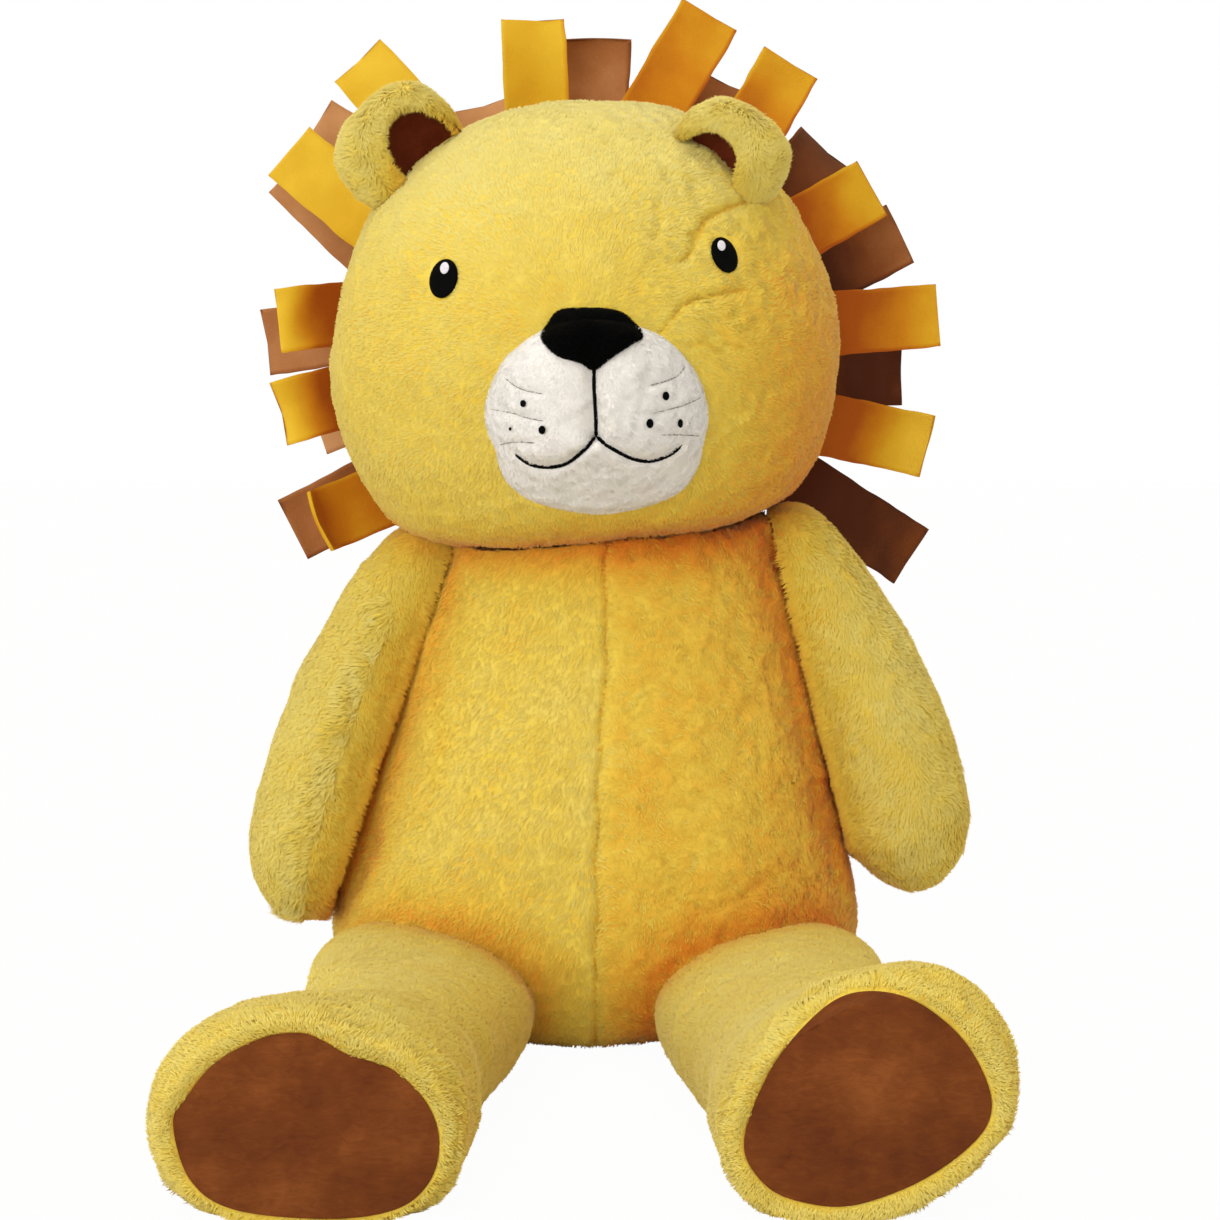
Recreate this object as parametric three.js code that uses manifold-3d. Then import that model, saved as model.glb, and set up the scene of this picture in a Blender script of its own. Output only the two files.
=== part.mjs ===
// A giant sitting plush lion: stuffed plush covers over their fillings, a felt strip mane and suede soles.
// Millimetres, +Z up, the lion faces -Y, and the origin is on the floor under the seat.
// Left and right are as seen by someone who faces the lion.

import * as THREE from 'three';
import { mergeVertices } from 'three/addons/utils/BufferGeometryUtils.js';
import Module from 'manifold-3d';

const wasm = await Module();
wasm.setup();

// Body: widths and depths are halves, from its own axis
const bodyHeight = 350;
const bodyHalfWidth = 184;
const bodyFrontDepth = 147;
const bodyBackDepth = 126;
const bodyLean = 18;
const bodySideShift = -5;
const neckOpeningRadius = 52;

// Head
const headHalfWidth = 175;
const headHalfHeight = 150;
const headFrontDepth = 142;
const headBackDepth = 122;
const headCentre = { across: -10, setback: -12, rise: 129 };
const headRoll = -5;
const headYaw = 2.4;

// Covers, fillings and gaps: pieces that rest on each other, those that turn, the arms' flat side and the
// dish under the head
const coverThickness = 7;
const restGap = 0.35;
const turnGap = 1;
const flankGap = 0.6;
const dishGap = 0.85;
const dishAllowance = 4;
const overrun = 14;

// Arms
const armLength = 282;
const armHalfWidth = 44;
const armHalfDepth = 43;
const armBulge = 16;
const armForward = 46;
const shoulderDip = { left: 14, right: 2 };
const shoulderOutset = { left: 11, right: 3.4 };
const shoulderOpeningRadius = 20;
const shoulderDrop = 34;
const armTilt = { left: 20.6, right: 21.7 };

// Legs
const legLength = 376;
const thighHalfWidth = 75;
const thighHalfHeight = 39;
const hipSpread = 114;
const hipSetback = 58;
const hipHeight = 38;
const hipTilt = 9;
const footHalfLength = 84;
const footHalfWidth = 60;
const toeShift = 39;
const hipOpeningRadius = 24;
const ankleSpread = { left: 113, right: 111 };
const ankleHeight = { left: 48, right: 40 };
const toeTilt = { left: 4, right: 30 };

// Soles
const soleHalfLength = 70;
const soleHalfWidth = 49;
const soleThickness = 3;

// Muzzle, nose and eyes, in the head's own frame
const cheekHalfWidth = 39;
const cheekHalfDepth = 42;
const cheekHalfHeight = 45;
const cheekSpread = 32;
const cheekHeight = -54;
const cheekSetback = 119;
const chinHalfWidth = 59;
const chinHalfDepth = 38;
const chinHalfHeight = 32;
const chinHeight = -87;
const noseHalfWidth = 33;
const noseHalfHeight = 17.5;
const noseHalfDepth = 20;
const noseHeight = -12;
const noseSetback = 149;
const eyeHalfWidth = 9.5;
const eyeHalfHeight = 12.5;
const eyeSpread = 91;
const eyeHeight = 35;
const eyeTilt = 15;
const eyeThickness = 1.6;

// Ears
const earHalfWidth = 43;
const earHeight = 58;
const earHalfDepth = 20;
const earRoot = 16;
const earSpread = { left: 98, right: 89 };
const earLift = { left: 110, right: 82 };
const earForward = { left: 26, right: 57 };
const earLean = { left: 38, right: 40 };
const earNod = { left: 4, right: 24 };
const earHollowHalfWidth = 22;
const earHollowHalfHeight = 30;
const earHollowDepth = 15;
const earHollowShift = 10;
const earLiningThickness = 2.5;

// Mane
const stripLength = 110;
const stripWidth = { yellow: 45, brown: 48 };
const stripThickness = 3;
const stripCup = 1.6;
const ringSetback = { yellow: 38, brown: 56 };
const layerStep = 5;
const maneRootInset = 22;

// Tail
const tailRadius = 13;
const tailReach = 96;
const tailRun = 92;
const tailRootHeight = 46;
const tuftRadius = 24;
const tuftLength = 84;

// Joints, in degrees
const neckTurn = 10;
const armSwing = { back: -25, forward: 75 };
const legLift = 40;
const earFold = { back: -12, forward: 18 };
const tailSwing = { left: -25, right: 35 };
const turnStep = 12;

// Sides of round things
const eyeSides = 20;
const openingSides = 20;
const soleSides = 28;

const origin = new THREE.Vector3();
const up = new THREE.Vector3(0, 0, 1);
const right = new THREE.Vector3(1, 0, 0);
const back = new THREE.Vector3(0, 1, 0);
const plainScale = new THREE.Vector3(1, 1, 1);
const sideNames = ['left', 'right'];
const sideSign = { left: -1, right: 1 };
const radians = THREE.MathUtils.degToRad;

const soft = (color, roughness = 0.95) => new THREE.MeshStandardMaterial({ color, roughness, metalness: 0 });
const plushYellow = soft('#e2b43c');
const feltYellow = soft('#e0a520');
const feltBrown = soft('#8a5028', 0.9);
const suedeBrown = soft('#84481f', 0.9);
const liningBrown = soft('#6b2a12');
const plushWhite = soft('#ece6e0');
const velvetBlack = soft('#0b0a0a', 0.85);
const threadBlack = soft('#0d0c0e', 0.45);
const fibreWhite = soft('#f1efe9', 1);

const lion = new THREE.Group();

// Closed skins

function signedVolume(geometry) {
  const place = geometry.attributes.position;
  const corner = [new THREE.Vector3(), new THREE.Vector3(), new THREE.Vector3()];
  let sum = 0;
  for (let i = 0; i < geometry.index.count; i += 3) {
    corner.forEach((point, k) => point.fromBufferAttribute(place, geometry.index.getX(i + k)));
    sum += corner[0].dot(corner[1].clone().cross(corner[2]));
  }
  return sum;
}

// Joins rings with equally many points into one closed skin, with a point in the middle of each end.
function skinOver(rings) {
  const sides = rings[0].length;
  const middle = (ring) => ring.reduce((sum, p) => sum.add(p), new THREE.Vector3()).divideScalar(sides);
  const points = [middle(rings[0]), ...rings.flat(), middle(rings.at(-1))];
  const last = points.length - 1;
  const at = (ring, side) => 1 + ring * sides + (side % sides);
  const faces = [];
  for (let side = 0; side < sides; side += 1) {
    faces.push(0, at(0, side + 1), at(0, side));
    faces.push(last, at(rings.length - 1, side), at(rings.length - 1, side + 1));
    for (let ring = 0; ring < rings.length - 1; ring += 1) {
      faces.push(at(ring, side), at(ring, side + 1), at(ring + 1, side + 1));
      faces.push(at(ring, side), at(ring + 1, side + 1), at(ring + 1, side));
    }
  }
  const geometry = new THREE.BufferGeometry().setFromPoints(points);
  geometry.setIndex(faces);
  if (signedVolume(geometry) < 0) {
    geometry.setIndex(faces.map((_, i) => faces[i - (i % 3) + [0, 2, 1][i % 3]]));
  }
  return geometry;
}

function splineOf(shares) {
  return new THREE.SplineCurve(shares.map(([x, y]) => new THREE.Vector2(x, y)));
}

// The second column of a table of shares, where its first column has the given value.
function shareAt(shares, value) {
  const curve = splineOf(shares);
  let low = 0;
  let high = 1;
  while (high - low > 1e-6) {
    const middle = (low + high) / 2;
    if (curve.getPoint(middle).x < value) low = middle;
    else high = middle;
  }
  return curve.getPoint(low).y;
}

// Rounds an ellipse towards a rectangle as the power grows past 2.
function squarish(value, power) {
  return Math.sign(value) * Math.abs(value) ** (2 / power);
}

// A stuffed bag around an upright axis. Its outline runs from pole to pole, as shares of the half width
// and of the half height, and the bag may be deeper in front than behind.
function bagForm(size, { rings, sides }, grow = 0) {
  const { outlineShares, halfWidth, front, behind, halfHeight, power = 2 } = size;
  const rows = splineOf(outlineShares).getSpacedPoints(rings).map((share) => {
    const edge = grow * Math.min(1, share.x * 3);
    return Array.from({ length: sides }, (_, side) => {
      const angle = (side / sides) * Math.PI * 2;
      const depth = Math.sin(angle) < 0 ? front : behind;
      return new THREE.Vector3(
        (share.x * halfWidth + edge) * squarish(Math.cos(angle), power),
        (share.x * depth + edge) * squarish(Math.sin(angle), power),
        share.y * (halfHeight + grow),
      );
    });
  });
  return skinOver(rows);
}

// A stuffed tube of oval rings along a spine, whose far end is round or flat.
function tubeForm(tube, { rings, sides }, grow = 0) {
  const { spine, girth, across, flatEnd, power = 2, fullWidth } = tube;
  const swell = 1 + grow / fullWidth;
  const rows = Array.from({ length: rings + 1 }, (_, ring) => {
    const share = ring / rings;
    const eased = flatEnd ? (share + Math.sin(share * Math.PI / 2)) / 2 : (1 - Math.cos(share * Math.PI)) / 2;
    const where = Math.min(Math.max(eased, 0.002), 1);
    const forward = spine.getTangentAt(where);
    const centre = spine.getPointAt(where).addScaledVector(forward, grow * (where * 2 - 1));
    const wide = across(where);
    wide.addScaledVector(forward, -wide.dot(forward)).normalize();
    const deep = forward.clone().cross(wide);
    const { halfWidth, halfDepth, shift } = girth(where);
    return Array.from({ length: sides }, (__, side) => {
      const angle = (side / sides) * Math.PI * 2;
      return centre.clone()
        .addScaledVector(wide, shift + halfWidth * swell * squarish(Math.cos(angle), power))
        .addScaledVector(deep, halfDepth * swell * squarish(Math.sin(angle), power));
    });
  });
  return skinOver(rows);
}

// Thins a tube to a round end over a share of its length at its start and at its end.
function roundEnds(where, startShare, endShare = 0) {
  const before = Math.max(0, 1 - where / startShare);
  const after = endShare > 0 ? Math.max(0, 1 - (1 - where) / endShare) : 0;
  return Math.sqrt(Math.max(0.0004, (1 - before ** 2) * (1 - after ** 2)));
}

// Solids that can be joined and cut

function solid(geometry, place = new THREE.Matrix4()) {
  const plain = geometry.clone().applyMatrix4(place);
  plain.deleteAttribute('normal');
  plain.deleteAttribute('uv');
  const merged = mergeVertices(plain);
  const vertProperties = new Float32Array(merged.attributes.position.array);
  const triVerts = new Uint32Array(merged.index.array);
  return new wasm.Manifold(new wasm.Mesh({ numProp: 3, vertProperties, triVerts }));
}

function addPiece(name, shape, material) {
  const { vertProperties, triVerts } = shape.getMesh();
  const geometry = new THREE.BufferGeometry();
  geometry.setAttribute('position', new THREE.BufferAttribute(new Float32Array(vertProperties), 3));
  geometry.setIndex(new THREE.BufferAttribute(new Uint32Array(triVerts), 1));
  geometry.computeVertexNormals();
  const mesh = new THREE.Mesh(geometry, material);
  mesh.name = name;
  lion.add(mesh);
}

function turnAbout(pivot, axis, angle) {
  const there = new THREE.Matrix4().makeTranslation(pivot);
  const turn = new THREE.Matrix4().makeRotationAxis(axis, radians(angle));
  const home = new THREE.Matrix4().makeTranslation(pivot.clone().negate());
  return there.multiply(turn).multiply(home);
}

// Even steps between the two limits of a joint, with both limits.
function anglesBetween(low, high) {
  const steps = Math.ceil((high - low) / turnStep);
  return Array.from({ length: steps + 1 }, (_, step) => low + (high - low) * (step / steps));
}

// Cuts a piece so that it can turn between the angles without meeting what stands still.
function clearOfTurn(piece, obstacle, { pivot, axis }, angles) {
  const turned = angles.map((angle) => solid(obstacle, turnAbout(pivot, axis, -angle)));
  return turned.reduce((rest, block) => rest.subtract(block), piece);
}

// A block as large as the lion, on the side of the point that the normal points away from.
function blockBehind(point, normal) {
  const size = bodyHeight * 3;
  const block = new THREE.BoxGeometry(size, size, size).translate(0, 0, -size / 2);
  const turn = new THREE.Quaternion().setFromUnitVectors(up, normal.clone().normalize());
  return solid(block, new THREE.Matrix4().compose(point, turn, plainScale));
}

function roundRod(from, to, radius) {
  const run = to.clone().sub(from);
  const rod = new THREE.CylinderGeometry(radius, radius, run.length(), openingSides);
  const turn = new THREE.Quaternion().setFromUnitVectors(back, run.clone().normalize());
  return solid(rod, new THREE.Matrix4().compose(from.clone().lerp(to, 0.5), turn, plainScale));
}

const floorBlock = blockBehind(origin, up);

// Each stuffed piece is a cover with an opening, and a filling that nearly touches the cover.
// The form is called with a growth and a detail, and the cut with the solid and its distance from the skin.
function addStuffed(name, form, cut, opening) {
  const outer = cut(solid(form(0, 'outer')), 0);
  const hollow = cut(solid(form(-coverThickness, 'inner')), coverThickness);
  const core = cut(solid(form(-coverThickness - restGap, 'inner')), coverThickness + restGap);
  addPiece(`${name}_cover`, outer.subtract(hollow).subtract(opening), plushYellow);
  addPiece(`${name}_filling`, core, fibreWhite);
}

// Body, from the flat seat to the dome that the head sits on. Its flanks are straight for the arms.
const seatShare = -1.003;
const flankTop = { widthShare: 0.65, heightShare: 0.716 };
const flankLow = { widthShare: 0.955, heightShare: -0.4 };
const flankMiddle = (share) => [
  THREE.MathUtils.lerp(flankLow.widthShare, flankTop.widthShare, share),
  THREE.MathUtils.lerp(flankLow.heightShare, flankTop.heightShare, share),
];
const bodyOutlineShares = [
  [0.02, seatShare], [0.4, seatShare], [0.66, -1], [0.84, -0.956], [0.95, -0.86], [1, -0.69], [0.988, -0.53],
  flankMiddle(0), flankMiddle(0.35), flankMiddle(0.7), flankMiddle(1), flankMiddle(1.12),
  [0.55, 0.94], [0.4, 0.982], [0.22, 0.998], [0.03, 1],
];
const bodyDetail = { outer: { rings: 17, sides: 28 }, inner: { rings: 9, sides: 14 } };
const leanShare = bodyLean / bodyHeight;
const bodyPlace = new THREE.Matrix4().set(
  1, 0, leanShare, bodySideShift + bodyLean / 2,
  0, 1, 0, 0,
  0, 0, 1, bodyHeight / 2,
  0, 0, 0, 1,
);

function bodyForm(grow, detail) {
  const size = {
    outlineShares: bodyOutlineShares,
    halfWidth: bodyHalfWidth,
    front: bodyFrontDepth,
    behind: bodyBackDepth,
    halfHeight: bodyHeight / 2,
  };
  return bagForm(size, bodyDetail[detail], grow).applyMatrix4(bodyPlace);
}

const neckPivot = new THREE.Vector3(bodySideShift + bodyLean, 0, bodyHeight);
const neckOpening = roundRod(
  neckPivot.clone().addScaledVector(up, -coverThickness - overrun),
  neckPivot.clone().addScaledVector(up, overrun),
  neckOpeningRadius,
);
const floorAt = (distance) => blockBehind(new THREE.Vector3(0, 0, distance), up);
addStuffed('body', bodyForm, (shape, distance) => shape.subtract(floorAt(distance)), neckOpening);

// Head, a wide bag with heavy cheeks, dished below where it sits on the body
const headOutlineShares = [
  [0.02, -0.975], [0.34, -0.972], [0.56, -0.945], [0.77, -0.84], [0.92, -0.59], [0.99, -0.27],
  [0.985, -0.03], [0.93, 0.25], [0.855, 0.45], [0.745, 0.64], [0.56, 0.82], [0.36, 0.95], [0.03, 1.02],
];
const headDetail = { outer: { rings: 17, sides: 28 }, inner: { rings: 8, sides: 14 } };
const headMiddle = new THREE.Vector3(headCentre.across, headCentre.setback, bodyHeight + headCentre.rise);
const headPlace = new THREE.Matrix4().makeTranslation(headMiddle)
  .multiply(new THREE.Matrix4().makeRotationY(radians(headRoll)))
  .multiply(new THREE.Matrix4().makeRotationZ(radians(headYaw)));

function headForm(grow, detail) {
  const size = {
    outlineShares: headOutlineShares,
    halfWidth: headHalfWidth,
    front: headFrontDepth,
    behind: headBackDepth,
    halfHeight: headHalfHeight,
  };
  return bagForm(size, headDetail[detail], grow).applyMatrix4(headPlace);
}

const neckJoint = { pivot: neckPivot, axis: up };
const dishOpening = roundRod(
  neckPivot.clone().addScaledVector(up, -overrun),
  neckPivot.clone().addScaledVector(up, coverThickness + overrun),
  neckOpeningRadius,
);

function dishHead(shape, distance) {
  if (distance === 0) {
    return clearOfTurn(shape, bodyForm(dishGap, 'outer'), neckJoint, anglesBetween(-neckTurn, neckTurn));
  }
  return shape.subtract(solid(bodyForm(distance + dishAllowance, 'outer')));
}
addStuffed('head', headForm, dishHead, dishOpening);
const headKeepOut = solid(headForm(restGap, 'outer'));

// Muzzle: two cheeks and a chin, seated on the front of the head
const padDetail = { rings: 10, sides: 16 };
const padOutlineShares = [
  [0.03, -1], [0.38, -0.93], [0.71, -0.71], [0.92, -0.39], [1, 0],
  [0.92, 0.39], [0.71, 0.71], [0.38, 0.93], [0.03, 1],
];
const cheek = { halfWidth: cheekHalfWidth, depth: cheekHalfDepth, halfHeight: cheekHalfHeight };
const chin = { halfWidth: chinHalfWidth, depth: chinHalfDepth, halfHeight: chinHalfHeight };
const muzzlePads = [
  ...sideNames.map((side) => ({ ...cheek, height: cheekHeight, across: sideSign[side] * cheekSpread })),
  { ...chin, height: chinHeight, across: 0 },
];

function muzzleForm(grow) {
  return muzzlePads.map(({ halfWidth, depth, halfHeight, height, across }) => {
    const size = { outlineShares: padOutlineShares, halfWidth, front: depth, behind: depth, halfHeight };
    return solid(bagForm(size, padDetail, grow).translate(across, -cheekSetback, height), headPlace);
  }).reduce((sum, piece) => sum.add(piece));
}

addPiece('muzzle', muzzleForm(0).subtract(headKeepOut), plushWhite);

// Nose: a padded shape, wide above and pointed below, on the top of the muzzle
const noseOutlineShares = [
  [0.03, -1.05], [0.3, -0.86], [0.66, -0.35], [0.95, 0.1], [1, 0.42], [0.9, 0.78], [0.66, 0.97], [0.03, 1],
];
const noseSize = {
  outlineShares: noseOutlineShares,
  halfWidth: noseHalfWidth,
  front: noseHalfDepth,
  behind: noseHalfDepth,
  halfHeight: noseHalfHeight,
};
const nose = solid(bagForm(noseSize, padDetail).translate(0, -noseSetback, noseHeight), headPlace);
addPiece('nose', nose.subtract(headKeepOut).subtract(muzzleForm(restGap)), velvetBlack);

// Eyes: flat ovals of satin stitch that follow the face
for (const side of sideNames) {
  const sign = sideSign[side];
  const oval = new THREE.CylinderGeometry(1, 1, headFrontDepth, eyeSides)
    .scale(eyeHalfWidth, 1, eyeHalfHeight)
    .applyMatrix4(new THREE.Matrix4().makeRotationY(radians(-sign * eyeTilt)))
    .translate(sign * eyeSpread, -headFrontDepth, eyeHeight);
  const patch = solid(oval, headPlace).intersect(solid(headForm(restGap + eyeThickness, 'outer')));
  addPiece(`eye_${side}`, patch.subtract(headKeepOut), threadBlack);
}

// Ears: padded cups with a brown lining, sewn on across the top corners of the head
const earOutlineShares = [
  [0.03, -1], [0.5, -0.9], [0.85, -0.6], [0.98, -0.2], [1, 0.15],
  [0.94, 0.5], [0.76, 0.8], [0.42, 0.97], [0.03, 1],
];

function earPlace(side) {
  const sign = sideSign[side];
  return headPlace.clone()
    .multiply(new THREE.Matrix4().makeTranslation(sign * earSpread[side], -earForward[side], earLift[side]))
    .multiply(new THREE.Matrix4().makeRotationY(radians(sign * earLean[side])))
    .multiply(new THREE.Matrix4().makeRotationX(radians(earNod[side])));
}

function earForm(side, grow, { halfWidth, depth, halfHeight, centre }) {
  const size = { outlineShares: earOutlineShares, halfWidth, front: depth, behind: depth, halfHeight };
  const bag = bagForm(size, { rings: 8, sides: 14 }, grow).translate(centre.x, centre.y, centre.z);
  return solid(bag, earPlace(side));
}

const earPad = {
  halfWidth: earHalfWidth,
  depth: earHalfDepth,
  halfHeight: (earHeight + earRoot) / 2,
  centre: new THREE.Vector3(0, 0, (earHeight - earRoot) / 2),
};
const earHollow = (side) => ({
  halfWidth: earHollowHalfWidth,
  depth: earHollowDepth,
  halfHeight: earHollowHalfHeight,
  centre: new THREE.Vector3(-sideSign[side] * earHollowShift, -earHalfDepth, earHeight / 2 - earRoot),
});

for (const side of sideNames) {
  const pivot = new THREE.Vector3().applyMatrix4(earPlace(side));
  const axis = new THREE.Vector3(1, 0, 0).transformDirection(earPlace(side));
  const seated = (shape) => clearOfTurn(
    shape,
    headForm(restGap, 'outer'),
    { pivot, axis },
    anglesBetween(earFold.back, earFold.forward),
  );
  const whole = earForm(side, 0, earPad);
  addPiece(`ear_${side}`, seated(whole.subtract(earForm(side, 0, earHollow(side)))), plushYellow);
  const lining = earForm(side, -restGap, earHollow(side))
    .subtract(earForm(side, -restGap - earLiningThickness, earHollow(side)))
    .intersect(earForm(side, -restGap, earPad));
  addPiece(`ear_lining_${side}`, seated(lining), liningBrown);
}

// Mane: felt strips sewn in two rings around the back of the head. Clock is where the strip's root lies
// on the ring and aim is where it points, both clockwise from the top, in degrees. Bow leans the strip
// backwards from its root on and curl bends its tip.
const yellowStrips = [
  { clock: -143, aim: -112, lengthShare: 1.06, bow: -10, curl: -80, layer: 0 },
  { clock: -109, aim: -106, lengthShare: 0.78, bow: -44, curl: 75, layer: 0 },
  { clock: -84, aim: -97, lengthShare: 0.69, bow: -42, curl: 60, layer: 1 },
  { clock: -62, aim: -50, lengthShare: 0.96, bow: 8, curl: 6, layer: 0 },
  { clock: -33, aim: -43, lengthShare: 1.1, bow: 10, curl: 8, layer: 1 },
  { clock: -12, aim: -3, lengthShare: 0.87, bow: -8, curl: 34, layer: 0 },
  { clock: 12, aim: 30, lengthShare: 1.12, bow: 20, curl: -8, layer: 0 },
  { clock: 40, aim: 30, lengthShare: 1.04, bow: 22, curl: -12, layer: 1 },
  { clock: 63, aim: 60, lengthShare: 0.84, bow: 28, curl: -48, layer: 0 },
  { clock: 90, aim: 85, lengthShare: 1.06, bow: 28, curl: -30, layer: 0 },
  { clock: 119, aim: 102, lengthShare: 1.22, bow: 36, curl: -72, layer: 0 },
];
const brownStrips = [
  { clock: -138, aim: -117, lengthShare: 1.3, bow: 22, curl: -30, layer: 0 },
  { clock: -112, aim: -110, lengthShare: 0.7, bow: 16, curl: 0, layer: 1 },
  { clock: -88, aim: -98, lengthShare: 0.96, bow: 24, curl: 10, layer: 0 },
  { clock: -72, aim: -46, lengthShare: 1.08, bow: 16, curl: -8, layer: 2 },
  { clock: -44, aim: -58, lengthShare: 1.1, bow: 16, curl: -8, layer: 0 },
  { clock: -25, aim: -15, lengthShare: 0.62, bow: 26, curl: 20, layer: 1 },
  { clock: 3, aim: 2, lengthShare: 0.86, bow: 18, curl: -40, layer: 0 },
  { clock: 32, aim: 24, lengthShare: 0.88, bow: 30, curl: 0, layer: 1 },
  { clock: 58, aim: 41, lengthShare: 1.04, bow: 34, curl: 30, layer: 0 },
  { clock: 80, aim: 63, lengthShare: 1.12, bow: 42, curl: -64, layer: 1 },
  { clock: 107, aim: 89, lengthShare: 1.08, bow: 38, curl: -16, layer: 0 },
  { clock: 133, aim: 122, lengthShare: 1.7, bow: 30, curl: -10, layer: 0 },
];

// A felt strip: rings of a thin, slightly cupped section along a line that bends towards the back.
function stripForm({ root, aim, length, width, bow, curl }) {
  const out = new THREE.Vector3(Math.sin(radians(aim)), 0, Math.cos(radians(aim)));
  const wide = back.clone().cross(out);
  const acrossShares = [-0.5, 0, 0.5];
  const steps = 8;
  const point = root.clone();
  const rows = [];
  for (let step = 0; step <= steps; step += 1) {
    const share = step / steps;
    const bend = radians(bow * (1 - (1 - share) ** 3) + curl * share ** 5);
    const along = out.clone().multiplyScalar(Math.cos(bend)).addScaledVector(back, Math.sin(bend));
    const normal = along.clone().cross(wide);
    const corner = (acrossShare, thicknessShare) => point.clone()
      .addScaledVector(wide, acrossShare * width)
      .addScaledVector(normal, thicknessShare * stripThickness + stripCup * (1 - (acrossShare * 2) ** 2));
    rows.push([
      ...acrossShares.map((acrossShare) => corner(acrossShare, -0.5)),
      ...acrossShares.map((acrossShare) => corner(-acrossShare, 0.5)),
    ]);
    point.addScaledVector(along, length / steps);
  }
  return solid(skinOver(rows));
}

function addManeRing(colour, strips, material) {
  const setback = ringSetback[colour];
  const roundness = Math.sqrt(1 - (setback / headBackDepth) ** 2);
  strips.forEach(({ clock, aim, lengthShare, bow, curl, layer }, index) => {
    const root = new THREE.Vector3(
      Math.sin(radians(clock)) * (headHalfWidth * roundness - maneRootInset),
      setback + layer * layerStep,
      Math.cos(radians(clock)) * (headHalfHeight * roundness - maneRootInset),
    ).add(headMiddle);
    const length = lengthShare * stripLength;
    const strip = stripForm({ root, aim, length, width: stripWidth[colour], bow, curl });
    const number = String(index + 1).padStart(2, '0');
    addPiece(`mane_${colour}_${number}`, strip.subtract(headKeepOut), material);
  });
}

addManeRing('yellow', yellowStrips, feltYellow);
addManeRing('brown', brownStrips, feltBrown);

// Arms: stuffed tubes that lie with a flat side on the straight flanks and can swing along them
const armDetail = { outer: { rings: 14, sides: 16 }, inner: { rings: 8, sides: 10 } };
const armGirthShares = [[0, 0.86], [0.2, 0.86], [0.4, 0.93], [0.6, 1], [0.8, 1], [1, 0.92]];
const armBulgeShares = [[0, -1.1], [0.1, -0.2], [0.28, 0.72], [0.52, 1], [0.77, 0.62], [1, 0]];

function flankPlane(side) {
  const sign = sideSign[side];
  const edge = ({ widthShare, heightShare }) => new THREE.Vector3(
    sign * widthShare * bodyHalfWidth,
    0,
    heightShare * bodyHeight / 2,
  ).applyMatrix4(bodyPlace);
  const top = edge(flankTop);
  const slope = top.clone().sub(edge(flankLow)).normalize();
  return { point: top, normal: new THREE.Vector3(sign * slope.z, 0, -sign * slope.x), slope };
}

function armForm(side, grow, detail) {
  const sign = sideSign[side];
  const tilt = radians(armTilt[side]);
  const down = new THREE.Vector3(sign * Math.sin(tilt), 0, -Math.cos(tilt));
  const out = new THREE.Vector3(sign * Math.cos(tilt), 0, Math.sin(tilt));
  const { point, slope } = flankPlane(side);
  const shoulderZ = bodyHeight - shoulderDip[side];
  const shoulder = point.clone()
    .addScaledVector(slope, (shoulderZ - point.z) / slope.z)
    .addScaledVector(right, sign * shoulderOutset[side]);
  const spine = new THREE.CatmullRomCurve3(armBulgeShares.map(([share, bulgeShare]) => shoulder.clone()
    .addScaledVector(down, share * armLength)
    .addScaledVector(out, bulgeShare * armBulge)
    .addScaledVector(back, -share * armForward)));
  const girth = (where) => {
    const roundShare = shareAt(armGirthShares, where) * roundEnds(where, 0.14, 0.2);
    return { halfWidth: armHalfWidth * roundShare, halfDepth: armHalfDepth * roundShare, shift: 0 };
  };
  const tube = { spine, girth, across: () => out.clone(), flatEnd: false, fullWidth: armHalfDepth };
  return tubeForm(tube, armDetail[detail], grow);
}

for (const side of sideNames) {
  const { point, normal, slope } = flankPlane(side);
  const pivot = point.clone().addScaledVector(slope, -shoulderDrop);
  const swing = { pivot, axis: normal.clone().multiplyScalar(-sideSign[side]) };
  const inside = roundRod(
    pivot.clone().addScaledVector(normal, -overrun),
    pivot.clone().addScaledVector(normal, coverThickness + overrun),
    shoulderOpeningRadius,
  );
  const cut = (shape, distance) => {
    const seam = point.clone().addScaledVector(normal, flankGap + distance);
    const flat = shape.subtract(blockBehind(seam, normal));
    const detail = distance === 0 ? 'outer' : 'inner';
    const angles = anglesBetween(armSwing.back, armSwing.forward);
    return clearOfTurn(flat, headForm(turnGap + distance, detail), swing, angles);
  };
  addStuffed(`arm_${side}`, (grow, detail) => armForm(side, grow, detail), cut, inside);
}

// Legs: stuffed boots that lie on the floor, with the toes turned out, and lift about a crease above
// the thigh
const legDetail = { outer: { rings: 16, sides: 20 }, inner: { rings: 9, sides: 12 } };
const legWidthShares = [
  [0, 0.94], [0.16, 1], [0.42, 0.92], [0.64, 0.76], [0.74, 0.76], [0.84, 0.97], [0.93, 1], [1, 1],
];
const legHeightShares = [
  [0, 0.95], [0.16, 1], [0.42, 1.05], [0.64, 1.18], [0.74, 1.16], [0.84, 1], [0.93, 1], [1, 1],
];
const toeShiftShares = [[0, 0], [0.42, 0], [0.64, 0.03], [0.74, 0.2], [0.84, 0.7], [0.93, 1], [1, 1]];
const rimShare = 0.1;
const hipOpeningShare = 0.24;

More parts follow.
